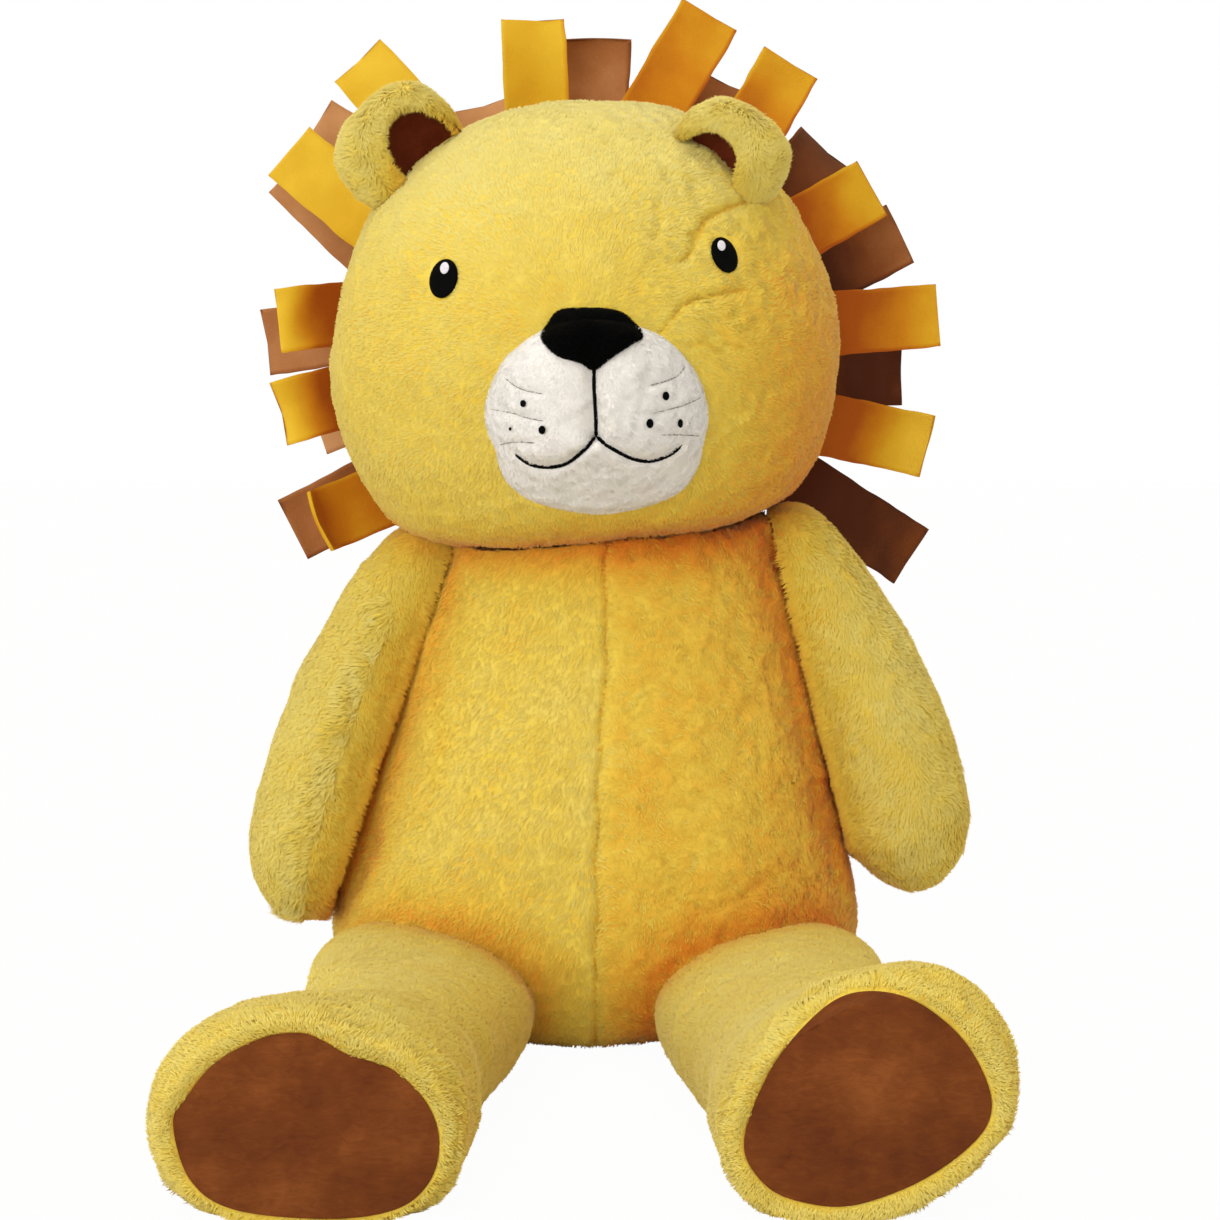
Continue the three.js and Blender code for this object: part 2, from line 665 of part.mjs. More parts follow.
function legForm(side, grow, detail) {
  const sign = sideSign[side];
  const hip = new THREE.Vector3(sign * hipSpread, -hipSetback, hipHeight);
  const ankle = new THREE.Vector3(sign * ankleSpread[side], -hipSetback - legLength, ankleHeight[side]);
  const spine = new THREE.CatmullRomCurve3([hip, hip.clone().lerp(ankle, 0.5), ankle]);
  const girth = (where) => {
    const footShare = THREE.MathUtils.smoothstep(where, 0.7, 0.9);
    const rim = 1 - rimShare * THREE.MathUtils.smoothstep(where, 0.955, 1);
    const scale = roundEnds(where, 0.1) * rim;
    const width = THREE.MathUtils.lerp(thighHalfWidth, footHalfLength, footShare);
    const height = THREE.MathUtils.lerp(thighHalfHeight, footHalfWidth, footShare);
    return {
      halfWidth: width * shareAt(legWidthShares, where) * scale,
      halfDepth: height * shareAt(legHeightShares, where) * scale,
      shift: toeShift * shareAt(toeShiftShares, where),
    };
  };
  const across = (where) => {
    const turned = THREE.MathUtils.smoothstep(where, 0.3, 0.85);
    const tilt = radians(THREE.MathUtils.lerp(hipTilt, toeTilt[side], turned));
    return new THREE.Vector3(sign * Math.cos(tilt), 0, Math.sin(tilt));
  };
  const form = { spine, girth, across, flatEnd: true, power: 2.2, fullWidth: thighHalfHeight };
  const tube = tubeForm(form, legDetail[detail], grow);
  return { tube, spine, across };
}

for (const side of sideNames) {
  const { spine, across } = legForm(side, 0, 'outer');
  const forward = spine.getTangentAt(1);
  const crease = new THREE.Vector3(
    sideSign[side] * hipSpread,
    -bodyFrontDepth * Math.sqrt(1 - (hipSpread / bodyHalfWidth) ** 2),
    hipHeight + thighHalfHeight,
  );
  const lift = { pivot: crease, axis: right };
  const inside = roundRod(spine.getPointAt(0), spine.getPointAt(hipOpeningShare), hipOpeningRadius);
  const cut = (shape, distance) => {
    const grounded = shape.subtract(floorAt(distance));
    const grow = distance === 0 ? restGap : distance + restGap;
    return clearOfTurn(grounded, bodyForm(grow, 'outer'), lift, anglesBetween(-legLift, 0));
  };
  addStuffed(`leg_${side}`, (grow, detail) => legForm(side, grow, detail).tube, cut, inside);

  const wide = across(1).addScaledVector(forward, -across(1).dot(forward)).normalize();
  const centre = spine.getPointAt(1).addScaledVector(wide, toeShift);
  const frame = new THREE.Matrix4().makeBasis(wide, forward, wide.clone().cross(forward)).setPosition(centre);
  const sole = new THREE.CylinderGeometry(1, 1, soleThickness, soleSides)
    .scale(soleHalfLength, 1, soleHalfWidth)
    .translate(0, soleThickness / 2 + restGap, 0);
  addPiece(`sole_${side}`, solid(sole, frame).subtract(floorBlock), suedeBrown);
}

// Tail: a plush cord that leaves the back low down, lies on the floor and ends in a brown tuft
const tailLineShares = [
  [0, 0, 1], [0.02, 0.3, 0.72], [0.14, 0.66, 0.3], [0.42, 0.94, 0], [0.74, 1, 0], [1, 0.96, 0],
];
const tailLine = tailLineShares.map(([runShare, reachShare, heightShare]) => new THREE.Vector3(
  runShare * tailRun,
  bodyBackDepth - coverThickness + reachShare * tailReach,
  tailRadius - restGap + heightShare * (tailRootHeight - tailRadius),
));
const tailSpine = new THREE.CatmullRomCurve3(tailLine);
const tailDetail = { rings: 12, sides: 8 };
const tailEnd = tailSpine.getPointAt(1);
const tailWay = tailSpine.getTangentAt(1);
const tuftLineShares = [[-0.17, 0.9], [0.5, 0.96], [1, 0.6]];
const tuftSpine = new THREE.CatmullRomCurve3(tuftLineShares.map(([runShare, heightShare]) => tailEnd.clone()
  .addScaledVector(tailWay, runShare * tuftLength)
  .setZ(heightShare * tuftRadius)));
const tuftGirthShares = [[0, 0.75], [0.3, 1], [0.6, 1], [1, 0.5]];

function roundTube(spine, radiusAt, fullWidth, grow = 0) {
  const girth = (where) => ({ halfWidth: radiusAt(where), halfDepth: radiusAt(where), shift: 0 });
  const tube = { spine, girth, across: () => up.clone(), flatEnd: false, fullWidth };
  return solid(tubeForm(tube, tailDetail, grow));
}

const tailRadiusAt = (where) => tailRadius * roundEnds(where, 0.03, 0.04);
const tuftRadiusAt = (where) => tuftRadius * shareAt(tuftGirthShares, where) * roundEnds(where, 0.18, 0.5);
const tail = roundTube(tailSpine, tailRadiusAt, tailRadius).subtract(floorBlock);
const tuft = roundTube(tuftSpine, tuftRadiusAt, tuftRadius).subtract(floorBlock);
const tailJoint = { pivot: new THREE.Vector3(0, bodyBackDepth - coverThickness, tailRootHeight), axis: up };
const tailAngles = anglesBetween(tailSwing.left, tailSwing.right);
addPiece('tail', clearOfTurn(tail, bodyForm(restGap, 'outer'), tailJoint, tailAngles), plushYellow);
addPiece('tail_tuft', tuft.subtract(roundTube(tailSpine, tailRadiusAt, tailRadius, restGap)), feltBrown);

export default lion;
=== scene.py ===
"""The looks of a giant sitting plush lion: dense pile over stuffed covers, a mane of felt and soles of suede.

Lengths are in millimetres and become metres when a mesh is made. The lion faces -Y. Left and right are as
seen by someone who faces it. Pixel places are in the photograph's own frame of 1220 by 1220 pixels."""

import itertools
import math
from typing import NamedTuple

import bpy
import numpy as np
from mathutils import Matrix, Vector
from mathutils.bvhtree import BVHTree


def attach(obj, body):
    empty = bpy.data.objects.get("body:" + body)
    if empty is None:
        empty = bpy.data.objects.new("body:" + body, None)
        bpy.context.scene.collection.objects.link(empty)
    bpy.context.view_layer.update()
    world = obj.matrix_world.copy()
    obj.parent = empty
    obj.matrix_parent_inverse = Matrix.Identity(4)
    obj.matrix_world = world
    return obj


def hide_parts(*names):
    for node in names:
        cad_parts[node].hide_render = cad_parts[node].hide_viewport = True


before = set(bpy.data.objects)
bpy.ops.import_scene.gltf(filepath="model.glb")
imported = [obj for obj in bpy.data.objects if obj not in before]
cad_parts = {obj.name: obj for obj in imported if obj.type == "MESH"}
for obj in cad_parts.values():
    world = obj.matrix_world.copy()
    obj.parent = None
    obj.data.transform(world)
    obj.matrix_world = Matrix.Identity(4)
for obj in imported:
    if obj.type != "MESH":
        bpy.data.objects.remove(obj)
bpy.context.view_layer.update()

MM = 0.001
SIDES = {"left": -1, "right": 1}
UP = np.array([0.0, 0.0, 1.0])
BACK = np.array([0.0, 1.0, 0.0])

# The photograph's camera: place, downward pitch and focal length in pixels
CAMERA_PLACE = np.array([9.0, -1615.0, 438.0])
CAMERA_PITCH = math.radians(5.546)
FRAME_PIXELS = 1220
FRAME_MIDDLE = FRAME_PIXELS / 2
FOCAL_PIXELS = 2307
FORWARD = np.array([0.0, math.cos(CAMERA_PITCH), -math.sin(CAMERA_PITCH)])
UPWARD = np.array([0.0, math.sin(CAMERA_PITCH), math.cos(CAMERA_PITCH)])


def rays(pixels):
    """Unit directions from the camera through pixels of the photograph."""
    way = FOCAL_PIXELS * FORWARD + (FRAME_MIDDLE - pixels[:, 1:]) * UPWARD
    way[:, 0] += pixels[:, 0] - FRAME_MIDDLE
    return way / np.linalg.norm(way, axis=1, keepdims=True)


def to_pixels(points):
    """Pixels of the photograph at which points show."""
    seen = points - CAMERA_PLACE
    depth = seen @ FORWARD
    across = FRAME_MIDDLE + FOCAL_PIXELS * seen[:, 0] / depth
    down = FRAME_MIDDLE - FOCAL_PIXELS * (seen @ UPWARD) / depth
    return np.stack([across, down], 1)


# Numbers: noise, smooth lines and turns


def lattice(cell, seed):
    """A random value from -1 to 1 for each cell, mixed from the bits of its place and the seed."""
    mixed = (cell @ np.array([374761393, 668265263, 1103515245]) + seed * 974711) & 0xFFFFFFFF
    mixed = ((mixed ^ (mixed >> 13)) * 1274126177) & 0xFFFFFFFF
    return ((mixed ^ (mixed >> 16)) & 0xFFFF) / 32767.5 - 1


def noise(points, size, seed):
    """Smooth random values from -1 to 1. size is that of their bumps, once or for each axis."""
    place = points / np.asarray(size, float) + 1000
    cell = np.floor(place).astype(np.int64)
    part = place - cell
    part = part**3 * (part * (part * 6 - 15) + 10)
    total = np.zeros(len(points))
    for corner in itertools.product((0, 1), repeat=3):
        weight = np.where(corner, part, 1 - part).prod(1)
        total += weight * lattice(cell + np.array(corner), seed)
    return total


def slope_of(points, size, seed):
    """The direction in which that noise rises, with a length up to about 1."""
    steps = np.diag(size) * 0.35
    rises = [noise(points + step, size, seed) - noise(points - step, size, seed) for step in steps]
    return np.stack(rises, 1)


def smooth_step(low, high, value):
    share = np.clip((value - low) / (high - low), 0, 1)
    return share * share * (3 - 2 * share)


def hump(away, width):
    """1 in the middle, and close to 0 from twice the width away."""
    return np.exp(-((away / width) ** 2))


def unit(vectors):
    return vectors / np.maximum(np.linalg.norm(vectors, axis=-1, keepdims=True), 1e-9)


def full_turn(count):
    return np.arange(count) / count * 2 * math.pi


def line_through(points, count, closed=False):
    """count evenly spaced points on a smooth line through the given ones."""
    points = np.asarray(points, float)
    if closed:
        spread = np.vstack([points[-1:], points, points[:2]])
    else:
        spread = np.vstack([2 * points[:1] - points[1:2], points, 2 * points[-1:] - points[-2:-1]])
    spans = len(spread) - 3
    where = np.linspace(0, spans, 40 * spans + 1)
    at = np.minimum(where.astype(int), spans - 1)
    f = (where - at)[:, None]
    a, b, c, d = (spread[at + k] for k in range(4))
    line = 0.5 * (2 * b + (c - a) * f + (2 * a - 5 * b + 4 * c - d) * f**2 + (3 * b - a - 3 * c + d) * f**3)
    run = np.r_[0, np.cumsum(np.linalg.norm(np.diff(line, axis=0), axis=1))]
    stops = np.linspace(0, run[-1], count, endpoint=not closed)
    return np.stack([np.interp(stops, run, values) for values in line.T], 1)


def share_at(table, where):
    """The value at a share of the way along a table of shares and values."""
    shares, values = line_through(table, count=200).T
    return float(np.interp(where, shares, values))


def turned(axis, degrees):
    """The matrix of a turn about X or Y by the right-hand rule, or about Z."""
    c, s = math.cos(math.radians(degrees)), math.sin(math.radians(degrees))
    a, b = {"x": (1, 2), "y": (2, 0), "z": (0, 1)}[axis]
    matrix = np.eye(3)
    matrix[a, a] = matrix[b, b] = c
    matrix[a, b], matrix[b, a] = -s, s
    return matrix


def distance_to(pixels, path):
    """The distance from pixels to a path of straight stretches."""
    path = np.asarray(path, float)
    best = np.full(len(pixels), np.inf)
    for start, end in zip(path[:-1], path[1:]):
        run = end - start
        share = np.clip((pixels - start) @ run / (run @ run), 0, 1)
        best = np.minimum(best, np.linalg.norm(pixels - start - share[:, None] * run, axis=1))
    return best


def right_of(pixels, path):
    """How far pixels are to the right of a path that leads down the photograph."""
    across, down = zip(*path)
    return pixels[:, 0] - np.interp(pixels[:, 1], down, across)


def inside(pixels, outline, middle, share):
    """Whether pixels lie within a share of an outline, which is star-shaped about its middle."""
    around, own = outline - middle, pixels - middle
    angle = np.arctan2(around[:, 1], around[:, 0])
    order = np.argsort(angle)
    reach = np.hypot(*around.T)[order]
    limit = np.interp(np.arctan2(own[:, 1], own[:, 0]), angle[order], reach, period=2 * math.pi)
    return np.hypot(*own.T) < limit * share


# Meshes


class Skin:
    """A closed surface of rings of points. resting marks the points that lie on a neighbour."""

    def __init__(self, rings):
        count, sides = rings.shape[:2]
        self.points = np.vstack([rings.reshape(-1, 3), rings[0].mean(0)[None], rings[-1].mean(0)[None]])
        self.resting = np.zeros(len(self.points), bool)
        step = np.arange(count - 1)[:, None] * sides
        side = np.arange(sides)
        beside = (side + 1) % sides
        corners = [step + side, step + beside, step + sides + beside, step + sides + side]
        self.quads = np.stack([corner.ravel() for corner in corners], 1)
        last_ring = (count - 1) * sides
        low = np.stack([np.full(sides, count * sides), beside, side], 1)
        high = np.stack([np.full(sides, count * sides + 1), side + last_ring, beside + last_ring], 1)
        self.tris = np.vstack([low, high])
        a, b, c, d = self.points[self.quads.T]
        if (np.cross(c - a, d - b) * (a - self.points.mean(0))).sum() < 0:
            self.quads = self.quads[:, ::-1]
            self.tris = self.tris[:, ::-1]

    def triangles(self):
        return np.vstack([self.quads[:, [0, 1, 2]], self.quads[:, [0, 2, 3]], self.tris])

    def normals(self):
        faces = self.triangles()
        a, b, c = self.points[faces.T]
        across = np.cross(b - a, c - a)
        total = np.zeros_like(self.points)
        for k, axis in itertools.product(range(3), range(3)):
            total[:, axis] += np.bincount(faces[:, k], across[:, axis], len(total))
        return unit(total)

    def facing(self):
        """1 where the skin is turned to the camera and -1 where it is turned away."""
        return -(self.normals() @ FORWARD)

    def tree(self):
        return BVHTree.FromPolygons(self.points.tolist(), self.triangles().tolist())

    def push(self, heights):
        self.points = self.points + self.normals() * heights[:, None]

    def swell(self, heights):
        """Pushes out the points that don't rest on a neighbour."""
        self.push(np.where(self.resting, 0.0, heights))

    def groove(self, path, width, depth):
        """Draws the skin in along a path of pixels, on the side that the camera sees."""
        along = hump(distance_to(to_pixels(self.points), path), width)
        self.push(np.where(self.facing() > 0.1, -depth * along, 0.0))

    def stay_above(self, level):
        self.points[:, 2] = np.maximum(self.points[:, 2], level)

    def keep_out_of(self, tree, gap, near):
        """Moves points that lie inside a neighbour on to its surface. near picks the ones to look at."""
        for index in np.flatnonzero(near):
            place, normal, _, _ = tree.find_nearest(Vector(self.points[index]))
            if (Vector(self.points[index]) - place).dot(normal) < gap:
                self.points[index] = place + normal * gap
                self.resting[index] = True


def make_object(name, points, quads, tris, tone=None):
    mesh = bpy.data.meshes.new(name)
    quads = np.asarray(quads, np.int32).reshape(-1, 4)
    tris = np.asarray(tris, np.int32).reshape(-1, 3)
    mesh.vertices.add(len(points))
    mesh.vertices.foreach_set("co", (points * MM).astype(np.float32).ravel())
    corners = np.concatenate([quads.ravel(), tris.ravel()])
    starts = np.concatenate([np.arange(len(quads)) * 4, len(quads) * 4 + np.arange(len(tris)) * 3])
    mesh.loops.add(len(corners))
    mesh.loops.foreach_set("vertex_index", corners)
    mesh.polygons.add(len(starts))
    mesh.polygons.foreach_set("loop_start", starts.astype(np.int32))
    mesh.polygons.foreach_set("use_smooth", np.ones(len(starts), bool))
    mesh.update(calc_edges=True)
    if tone is not None:
        mesh.attributes.new("tone", "FLOAT", "POINT").data.foreach_set("value", tone.astype(np.float32))
    obj = bpy.data.objects.new(name, mesh)
    bpy.context.scene.collection.objects.link(obj)
    return obj


def place_piece(obj, body, slot, material, replaced=(), fill=None):
    obj.data.materials.append(material)
    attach(obj, body)
    if replaced:
        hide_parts(*replaced)


def add_piece(name, skin, body, slot, material, replaced=(), fill=None, tone=None):
    obj = make_object(name, skin.points, skin.quads, skin.tris, tone)
    place_piece(obj, body, slot, material, replaced, fill)


# Pile


class Pile(NamedTuple):
    """Fibres: their length and width, their lean in degrees, how much they swirl and fray, how deep their
    painted shade is at the roots and between the locks, how far they are pulled into locks, and the size of
    the locks."""

    length: float
    width: float
    lean: float
    swirl: float
    fray: float
    contrast: float
    pull: float
    clump: tuple


SMOOTH = Pile(3.6, 0.85, 77, 0.6, 0.2, 0.12, 0.4, (8, 8, 6))
SOFT = Pile(4.0, 0.75, 71, 0.8, 0.3, 0.5, 1.0, (6, 6, 4.5))
LOCKS = Pile(4.8, 0.75, 67, 0.8, 0.3, 0.5, 1.6, (8, 8, 8))
FRINGE = Pile(7.5, 0.85, 60, 0.7, 0.3, 0.5, 2.6, (6, 6, 8))
BRIDGE = Pile(6, 0.75, 72, 0.4, 0.2, 0.25, 1.2, (6, 6, 8))
RIM = Pile(4.2, 0.75, 67, 0.9, 0.3, 0.35, 1.5, (6, 6, 6))
VELVET = Pile(2.2, 0.5, 58, 0.8, 0.3, 0.2, 0.3, (5, 5, 5))
MOST_FIBRES = 62000
LEAST_LEAN, MOST_LEAN = 45, 80
ROOT_DEPTH = 0.8
LOWEST_FIBRE = 0.1


def grow_pile(name, skin, count, pile, comb, dress, seed, where=True, tone=0.0, rough=1.0, brushed=0.9,
              crease_shade=(), bare=()):
    """Grows short tapered fibres on a skin, in pieces of at most MOST_FIBRES. dress is their body, slot and
    material. Once or for each point of the skin, comb is the way they lie, where tells if they grow, tone how
    pale they are, with any painted shade, rough how tousled they are, and brushed how strongly they are
    brushed backwards. Along the paths of pixels of creases, painted shade darkens them, and along bare paths
    there are none."""
    total = len(skin.points)
    comb = unit(np.broadcast_to(comb, (total, 3))) + BACK * brushed
    where, tone, rough = (np.broadcast_to(values, total) for values in (where, tone, rough))
    faces = skin.triangles()
    faces = faces[~skin.resting[faces].any(1) & where[faces].all(1)]
    a, b, c = skin.points[faces.T]
    size = np.linalg.norm(np.cross(b - a, c - a), axis=1)
    at_points = (skin.points, skin.normals(), comb, rough, tone)
    parts = math.ceil(count / MOST_FIBRES)
    for part in range(parts):
        rng = np.random.default_rng(seed * 10 + part)
        corners = faces[rng.choice(len(faces), count // parts, p=size / size.sum())]
        shares = rng.dirichlet((1, 1, 1), len(corners))
        root, normal, way, mess, own = (blend(values, corners, shares) for values in at_points)
        normal = unit(normal)
        pixels = to_pixels(root)
        seen = -(normal @ FORWARD) > 0
        # Painted shade along the creases
        for path, width, drop in crease_shade:
            own = own - np.where(seen, drop * hump(distance_to(pixels, path), width), 0)
        if bare:
            keep = np.min([distance_to(pixels, path) / width for path, width in bare], axis=0) > 1
            root, normal, way, mess, own = (values[keep] for values in (root, normal, way, mess, own))
        label = name if parts == 1 else f"{name}_{part + 1}"
        place_piece(fibres(label, root, normal, way, mess, own, pile, seed, rng), *dress)


def blend(values, corners, shares):
    """Values within triangles, from those at their corners."""
    if values.ndim > 1:
        shares = shares[:, :, None]
    return (values[corners] * shares).sum(1)


def fibres(name, root, normal, way, mess, own, pile, seed, rng):
    """A fibre for each root: a strip that is bent once and ends in a point."""
    count = len(root)
    way = unit(way - (way * normal).sum(1)[:, None] * normal)
    swirl = (noise(root, 34, seed + 1) + 0.6 * noise(root, 9, seed + 2)) * pile.swirl * mess
    swirl += rng.normal(0, pile.fray, count)
    way = way * np.cos(swirl)[:, None] + np.cross(normal, way) * np.sin(swirl)[:, None]
    lean = pile.lean - 7 * noise(root, 12, seed + 3) * mess + rng.normal(0, 5, count)
    tilt = np.radians(np.clip(lean, LEAST_LEAN, MOST_LEAN))
    growth = 1 + 0.16 * noise(root, 12, seed + 4) * mess + rng.normal(0, 0.12, count)
    tall = (pile.length * growth)[:, None]
    gather = slope_of(root, pile.clump, seed + 5) * mess[:, None]
    gather -= (gather * normal).sum(1)[:, None] * normal
    rise, run = np.cos(tilt)[:, None], np.sin(tilt)[:, None]
    shift = gather * pile.pull
    middle = root + tall * 0.5 * (normal * (rise + 0.22) + way * run * 0.8) + shift * 0.4
    tip = root + tall * (normal * (rise * 0.75 + 0.1) + way * run * 1.05) + shift
    root = root - normal * ROOT_DEPTH
    across = unit(np.cross(normal, way) + rng.normal(0, 0.16, (count, 3)))
    half = (pile.width * (0.8 + 0.4 * rng.random(count)))[:, None] / 2
    corners = [root + across * half, root - across * half,
               middle - across * half * 0.85, middle + across * half * 0.85, tip]
    points = np.stack(corners, 1).reshape(-1, 3)
    points[:, 2] = np.maximum(points[:, 2], LOWEST_FIBRE)
    # Painted shade between the locks: a fibre is deeper where the locks part and paler where they gather, and
    # its tone also differs at random
    own = own + rng.normal(0, 0.02, count) + 0.15 * pile.contrast * noise(root, pile.clump, seed + 5) * mess
    own += 0.035 * noise(root, 30, seed + 6) + 0.03 * noise(root, 90, seed + 7)
    # Painted shade in the pile: each fibre is deeper at its root and paler at its tip
    steps = pile.contrast * np.minimum(mess, 1)[:, None] * np.array([-0.22, -0.22, 0.0, 0.0, 0.1])
    first = np.arange(count)[:, None] * 5
    obj = make_object(name, points, first + QUAD, first + TIP, (0.58 + own[:, None] + steps).ravel())
    facing = unit(normal + 0.3 * gather + 0.08 * way + rng.normal(0, 0.04, (count, 3)))
    obj.data.normals_split_custom_set_from_vertices(np.repeat(facing, 5, axis=0).tolist())
    lay_out_fibres(obj, count)
    return obj


# The corners of a fibre's quad and of its tip, and where its five points lie in its place on the bake's map
QUAD, TIP = [0, 1, 2, 3], [3, 2, 4]
FIBRE_SPOTS = np.array([[0.2, 0.1], [0.8, 0.1], [0.75, 0.55], [0.25, 0.55], [0.5, 0.9]])


def lay_out_fibres(obj, count):
    """Gives each fibre its own small place on the bake's map."""
    cells = math.ceil(math.sqrt(count))
    index = np.arange(count)
    corner = np.stack([index % cells, index // cells], 1)[:, None]
    places = [((corner + FIBRE_SPOTS[face]) / cells).ravel() for face in (QUAD, TIP)]
    obj.data.uv_layers.new(name="OFBake").uv.foreach_set("vector", np.concatenate(places).astype(np.float32))


# Materials


def linear(colour):
    parts = [int(colour[k : k + 2], 16) / 255 for k in (1, 3, 5)]
    return [c / 12.92 if c <= 0.04045 else ((c + 0.055) / 1.055) ** 2.4 for c in parts] + [1.0]


class Nodes:
    """Short ways to add and join the nodes of a tree."""

    def __init__(self, tree):
        self.tree = tree

    def add(self, kind, **settings):
        node = self.tree.nodes.new("ShaderNode" + kind)
        for key, value in settings.items():
            if key in node.inputs:
                node.inputs[key].default_value = value
            else:
                setattr(node, key, value)
        return node

    def join(self, output, target):
        self.tree.links.new(output, target)

    def noise(self, scale, detail=3.0, rough=0.6, stretch=None, distortion=0.0):
        place = self.add("TexCoord").outputs["Object"]
        if stretch:
            mapping = self.add("Mapping", Scale=stretch)
            self.join(place, mapping.inputs["Vector"])
            place = mapping.outputs["Vector"]
        texture = self.add("TexNoise", Scale=scale, Detail=detail, Roughness=rough, Distortion=distortion)
        self.join(place, texture.inputs["Vector"])
        return texture.outputs["Fac"]

    def ramp(self, source, stops):
        node = self.add("ValToRGB")
        ends = node.color_ramp.elements
        while len(ends) < len(stops):
            ends.new(0.5)
        for end, (where, colour) in zip(ends, stops):
            end.position = where
            end.color = linear(colour)
        self.join(source, node.inputs["Fac"])
        return node.outputs["Color"]

    def maths(self, operation, *values):
        node = self.add("Math", operation=operation)
        for socket, value in zip(node.inputs, values):
            if isinstance(value, (int, float)):
                socket.default_value = value
            else:
                self.join(value, socket)
        return node.outputs["Value"]

    def mix(self, share, first, second, output):
        """Mixes two shaders and joins them to the tree's output."""
        node = self.add("MixShader")
        for source, socket in zip((share, first, second), node.inputs):
            self.join(source, socket)
        self.join(node.outputs[0], self.tree.nodes[output].inputs["Surface"])


class Cloth(Nodes):
    """The nodes of a new material with a Principled shader."""

    def __init__(self, name, roughness, sheen=0.0, sheen_tint="#ffffff", sheen_roughness=0.5, specular=0.2):
        self.material = bpy.data.materials.new(name)
        self.material.use_nodes = True
        super().__init__(self.material.node_tree)
        self.shader = self.tree.nodes["Principled BSDF"]
        self.shader.inputs["Roughness"].default_value = roughness
        self.shader.inputs["Specular IOR Level"].default_value = specular
        self.shader.inputs["Sheen Weight"].default_value = sheen
        self.shader.inputs["Sheen Roughness"].default_value = sheen_roughness
        self.shader.inputs["Sheen Tint"].default_value = linear(sheen_tint)

    def tone(self):
        return self.add("Attribute", attribute_name="tone").outputs["Fac"]

    def bump(self, height, distance, strength):
        node = self.add("Bump", Strength=strength, Distance=distance)
        self.join(height, node.inputs["Height"])
        self.join(node.outputs["Normal"], self.shader.inputs["Normal"])

    def coloured(self, output):
        self.join(output, self.shader.inputs["Base Color"])
        return self.material


def pile_material(name, stops, sheen, tint):
    cloth = Cloth(name, roughness=0.9, sheen=sheen, sheen_tint=tint, specular=0.1)
    return cloth.coloured(cloth.ramp(cloth.tone(), stops))


def backing_material(name, stops, sheen, tint, bump_scale=240):
    """The cloth under a pile, with soft patches and a fine woven bump."""
    cloth = Cloth(name, roughness=0.95, sheen=sheen, sheen_tint=tint)
    patches = cloth.maths("MULTIPLY_ADD", cloth.noise(55, 2), 0.3, -0.15)
    cloth.bump(cloth.noise(bump_scale, 4, 0.65), distance=0.0012, strength=0.8)
    return cloth.coloured(cloth.ramp(cloth.maths("ADD", cloth.tone(), patches), stops))


def felt_material(name, stops):
    """Felt whose tone, with its painted light and shade, comes from the strip, with clouds and fine matted
    fibres.
    """
    cloth = Cloth(name, roughness=0.95, sheen=0.3, sheen_tint=stops[-1][1], sheen_roughness=0.6)
    clouds = cloth.maths("MULTIPLY", cloth.noise(28, 3, 0.6), 0.3)
    specks = cloth.maths("MULTIPLY", cloth.noise(900, 3, 0.8), 0.22)
    whole = cloth.maths("ADD", cloth.tone(), cloth.maths("ADD", clouds, specks))
    cloth.bump(cloth.noise(1100, 5, 0.75), distance=0.0005, strength=0.7)
    return cloth.coloured(cloth.ramp(cloth.maths("SUBTRACT", whole, 0.26), stops))


def suede_material():
    """Suede with a fine nap that is brushed sideways, cloudy and a little rubbed."""
    cloth = Cloth("suede_brown", roughness=0.9, sheen=0.25, sheen_tint="#c98a5a", sheen_roughness=0.5)
    clouds = cloth.maths("MULTIPLY", cloth.noise(16, 4, 0.6), 0.95)
    nap = cloth.noise(170, 5, 0.75, stretch=(0.55, 1.0, 1.5), distortion=1.2)
    whole = cloth.maths("ADD", clouds, cloth.maths("MULTIPLY", nap, 0.4))
    cloth.bump(nap, distance=0.0006, strength=0.6)
    return cloth.coloured(cloth.ramp(whole, [(0.44, "#54240a"), (0.68, "#703811"), (0.94, "#8f5022")]))


def thread_material(name, colour, light, roughness):
    cloth = Cloth(name, roughness=roughness, sheen=0.01, sheen_roughness=0.3, specular=0.06)
    stitches = cloth.noise(260, 2, 0.5, stretch=(1.0, 1.0, 7.0))
    cloth.bump(stitches, distance=0.0006, strength=0.9)
    return cloth.coloured(cloth.ramp(stitches, [(0.3, colour), (0.8, light)]))


def velvet_material():
    cloth = Cloth("velvet_black", roughness=0.95, sheen=0.04, sheen_tint="#6a5a6a", sheen_roughness=0.4,
                  specular=0.05)
    cloth.bump(cloth.noise(700, 4, 0.7), distance=0.0006, strength=0.8)
    return cloth.coloured(cloth.ramp(cloth.noise(60, 3), [(0.3, "#020202"), (0.8, "#080707")]))


YELLOW_STOPS = [(0.0, "#e0701c"), (0.2, "#e8992c"), (0.36, "#ecbb3e"), (0.52, "#eed151"), (0.75, "#eedf82"),
                (1.0, "#f4ebc0")]
WHITE_STOPS = [(0.1, "#c9b59a"), (0.45, "#f5ebdf"), (0.7, "#fefaf4"), (1.0, "#ffffff")]
BROWN_STOPS = [(0.1, "#360f05"), (0.5, "#6b2a12"), (0.85, "#8a3d1c")]
BLACK_STOPS = [(0.2, "#010101"), (0.7, "#020202"), (1.0, "#070606")]
FELT_STOPS = {"yellow": [(0.0, "#a84c08"), (0.3, "#ca7e10"), (0.6, "#dcaa24"), (1.0, "#f0ca3e")],
              "brown": [(0.0, "#4a1c08"), (0.3, "#7a3f18"), (0.6, "#a4683a"), (1.0, "#cf9a68")]}

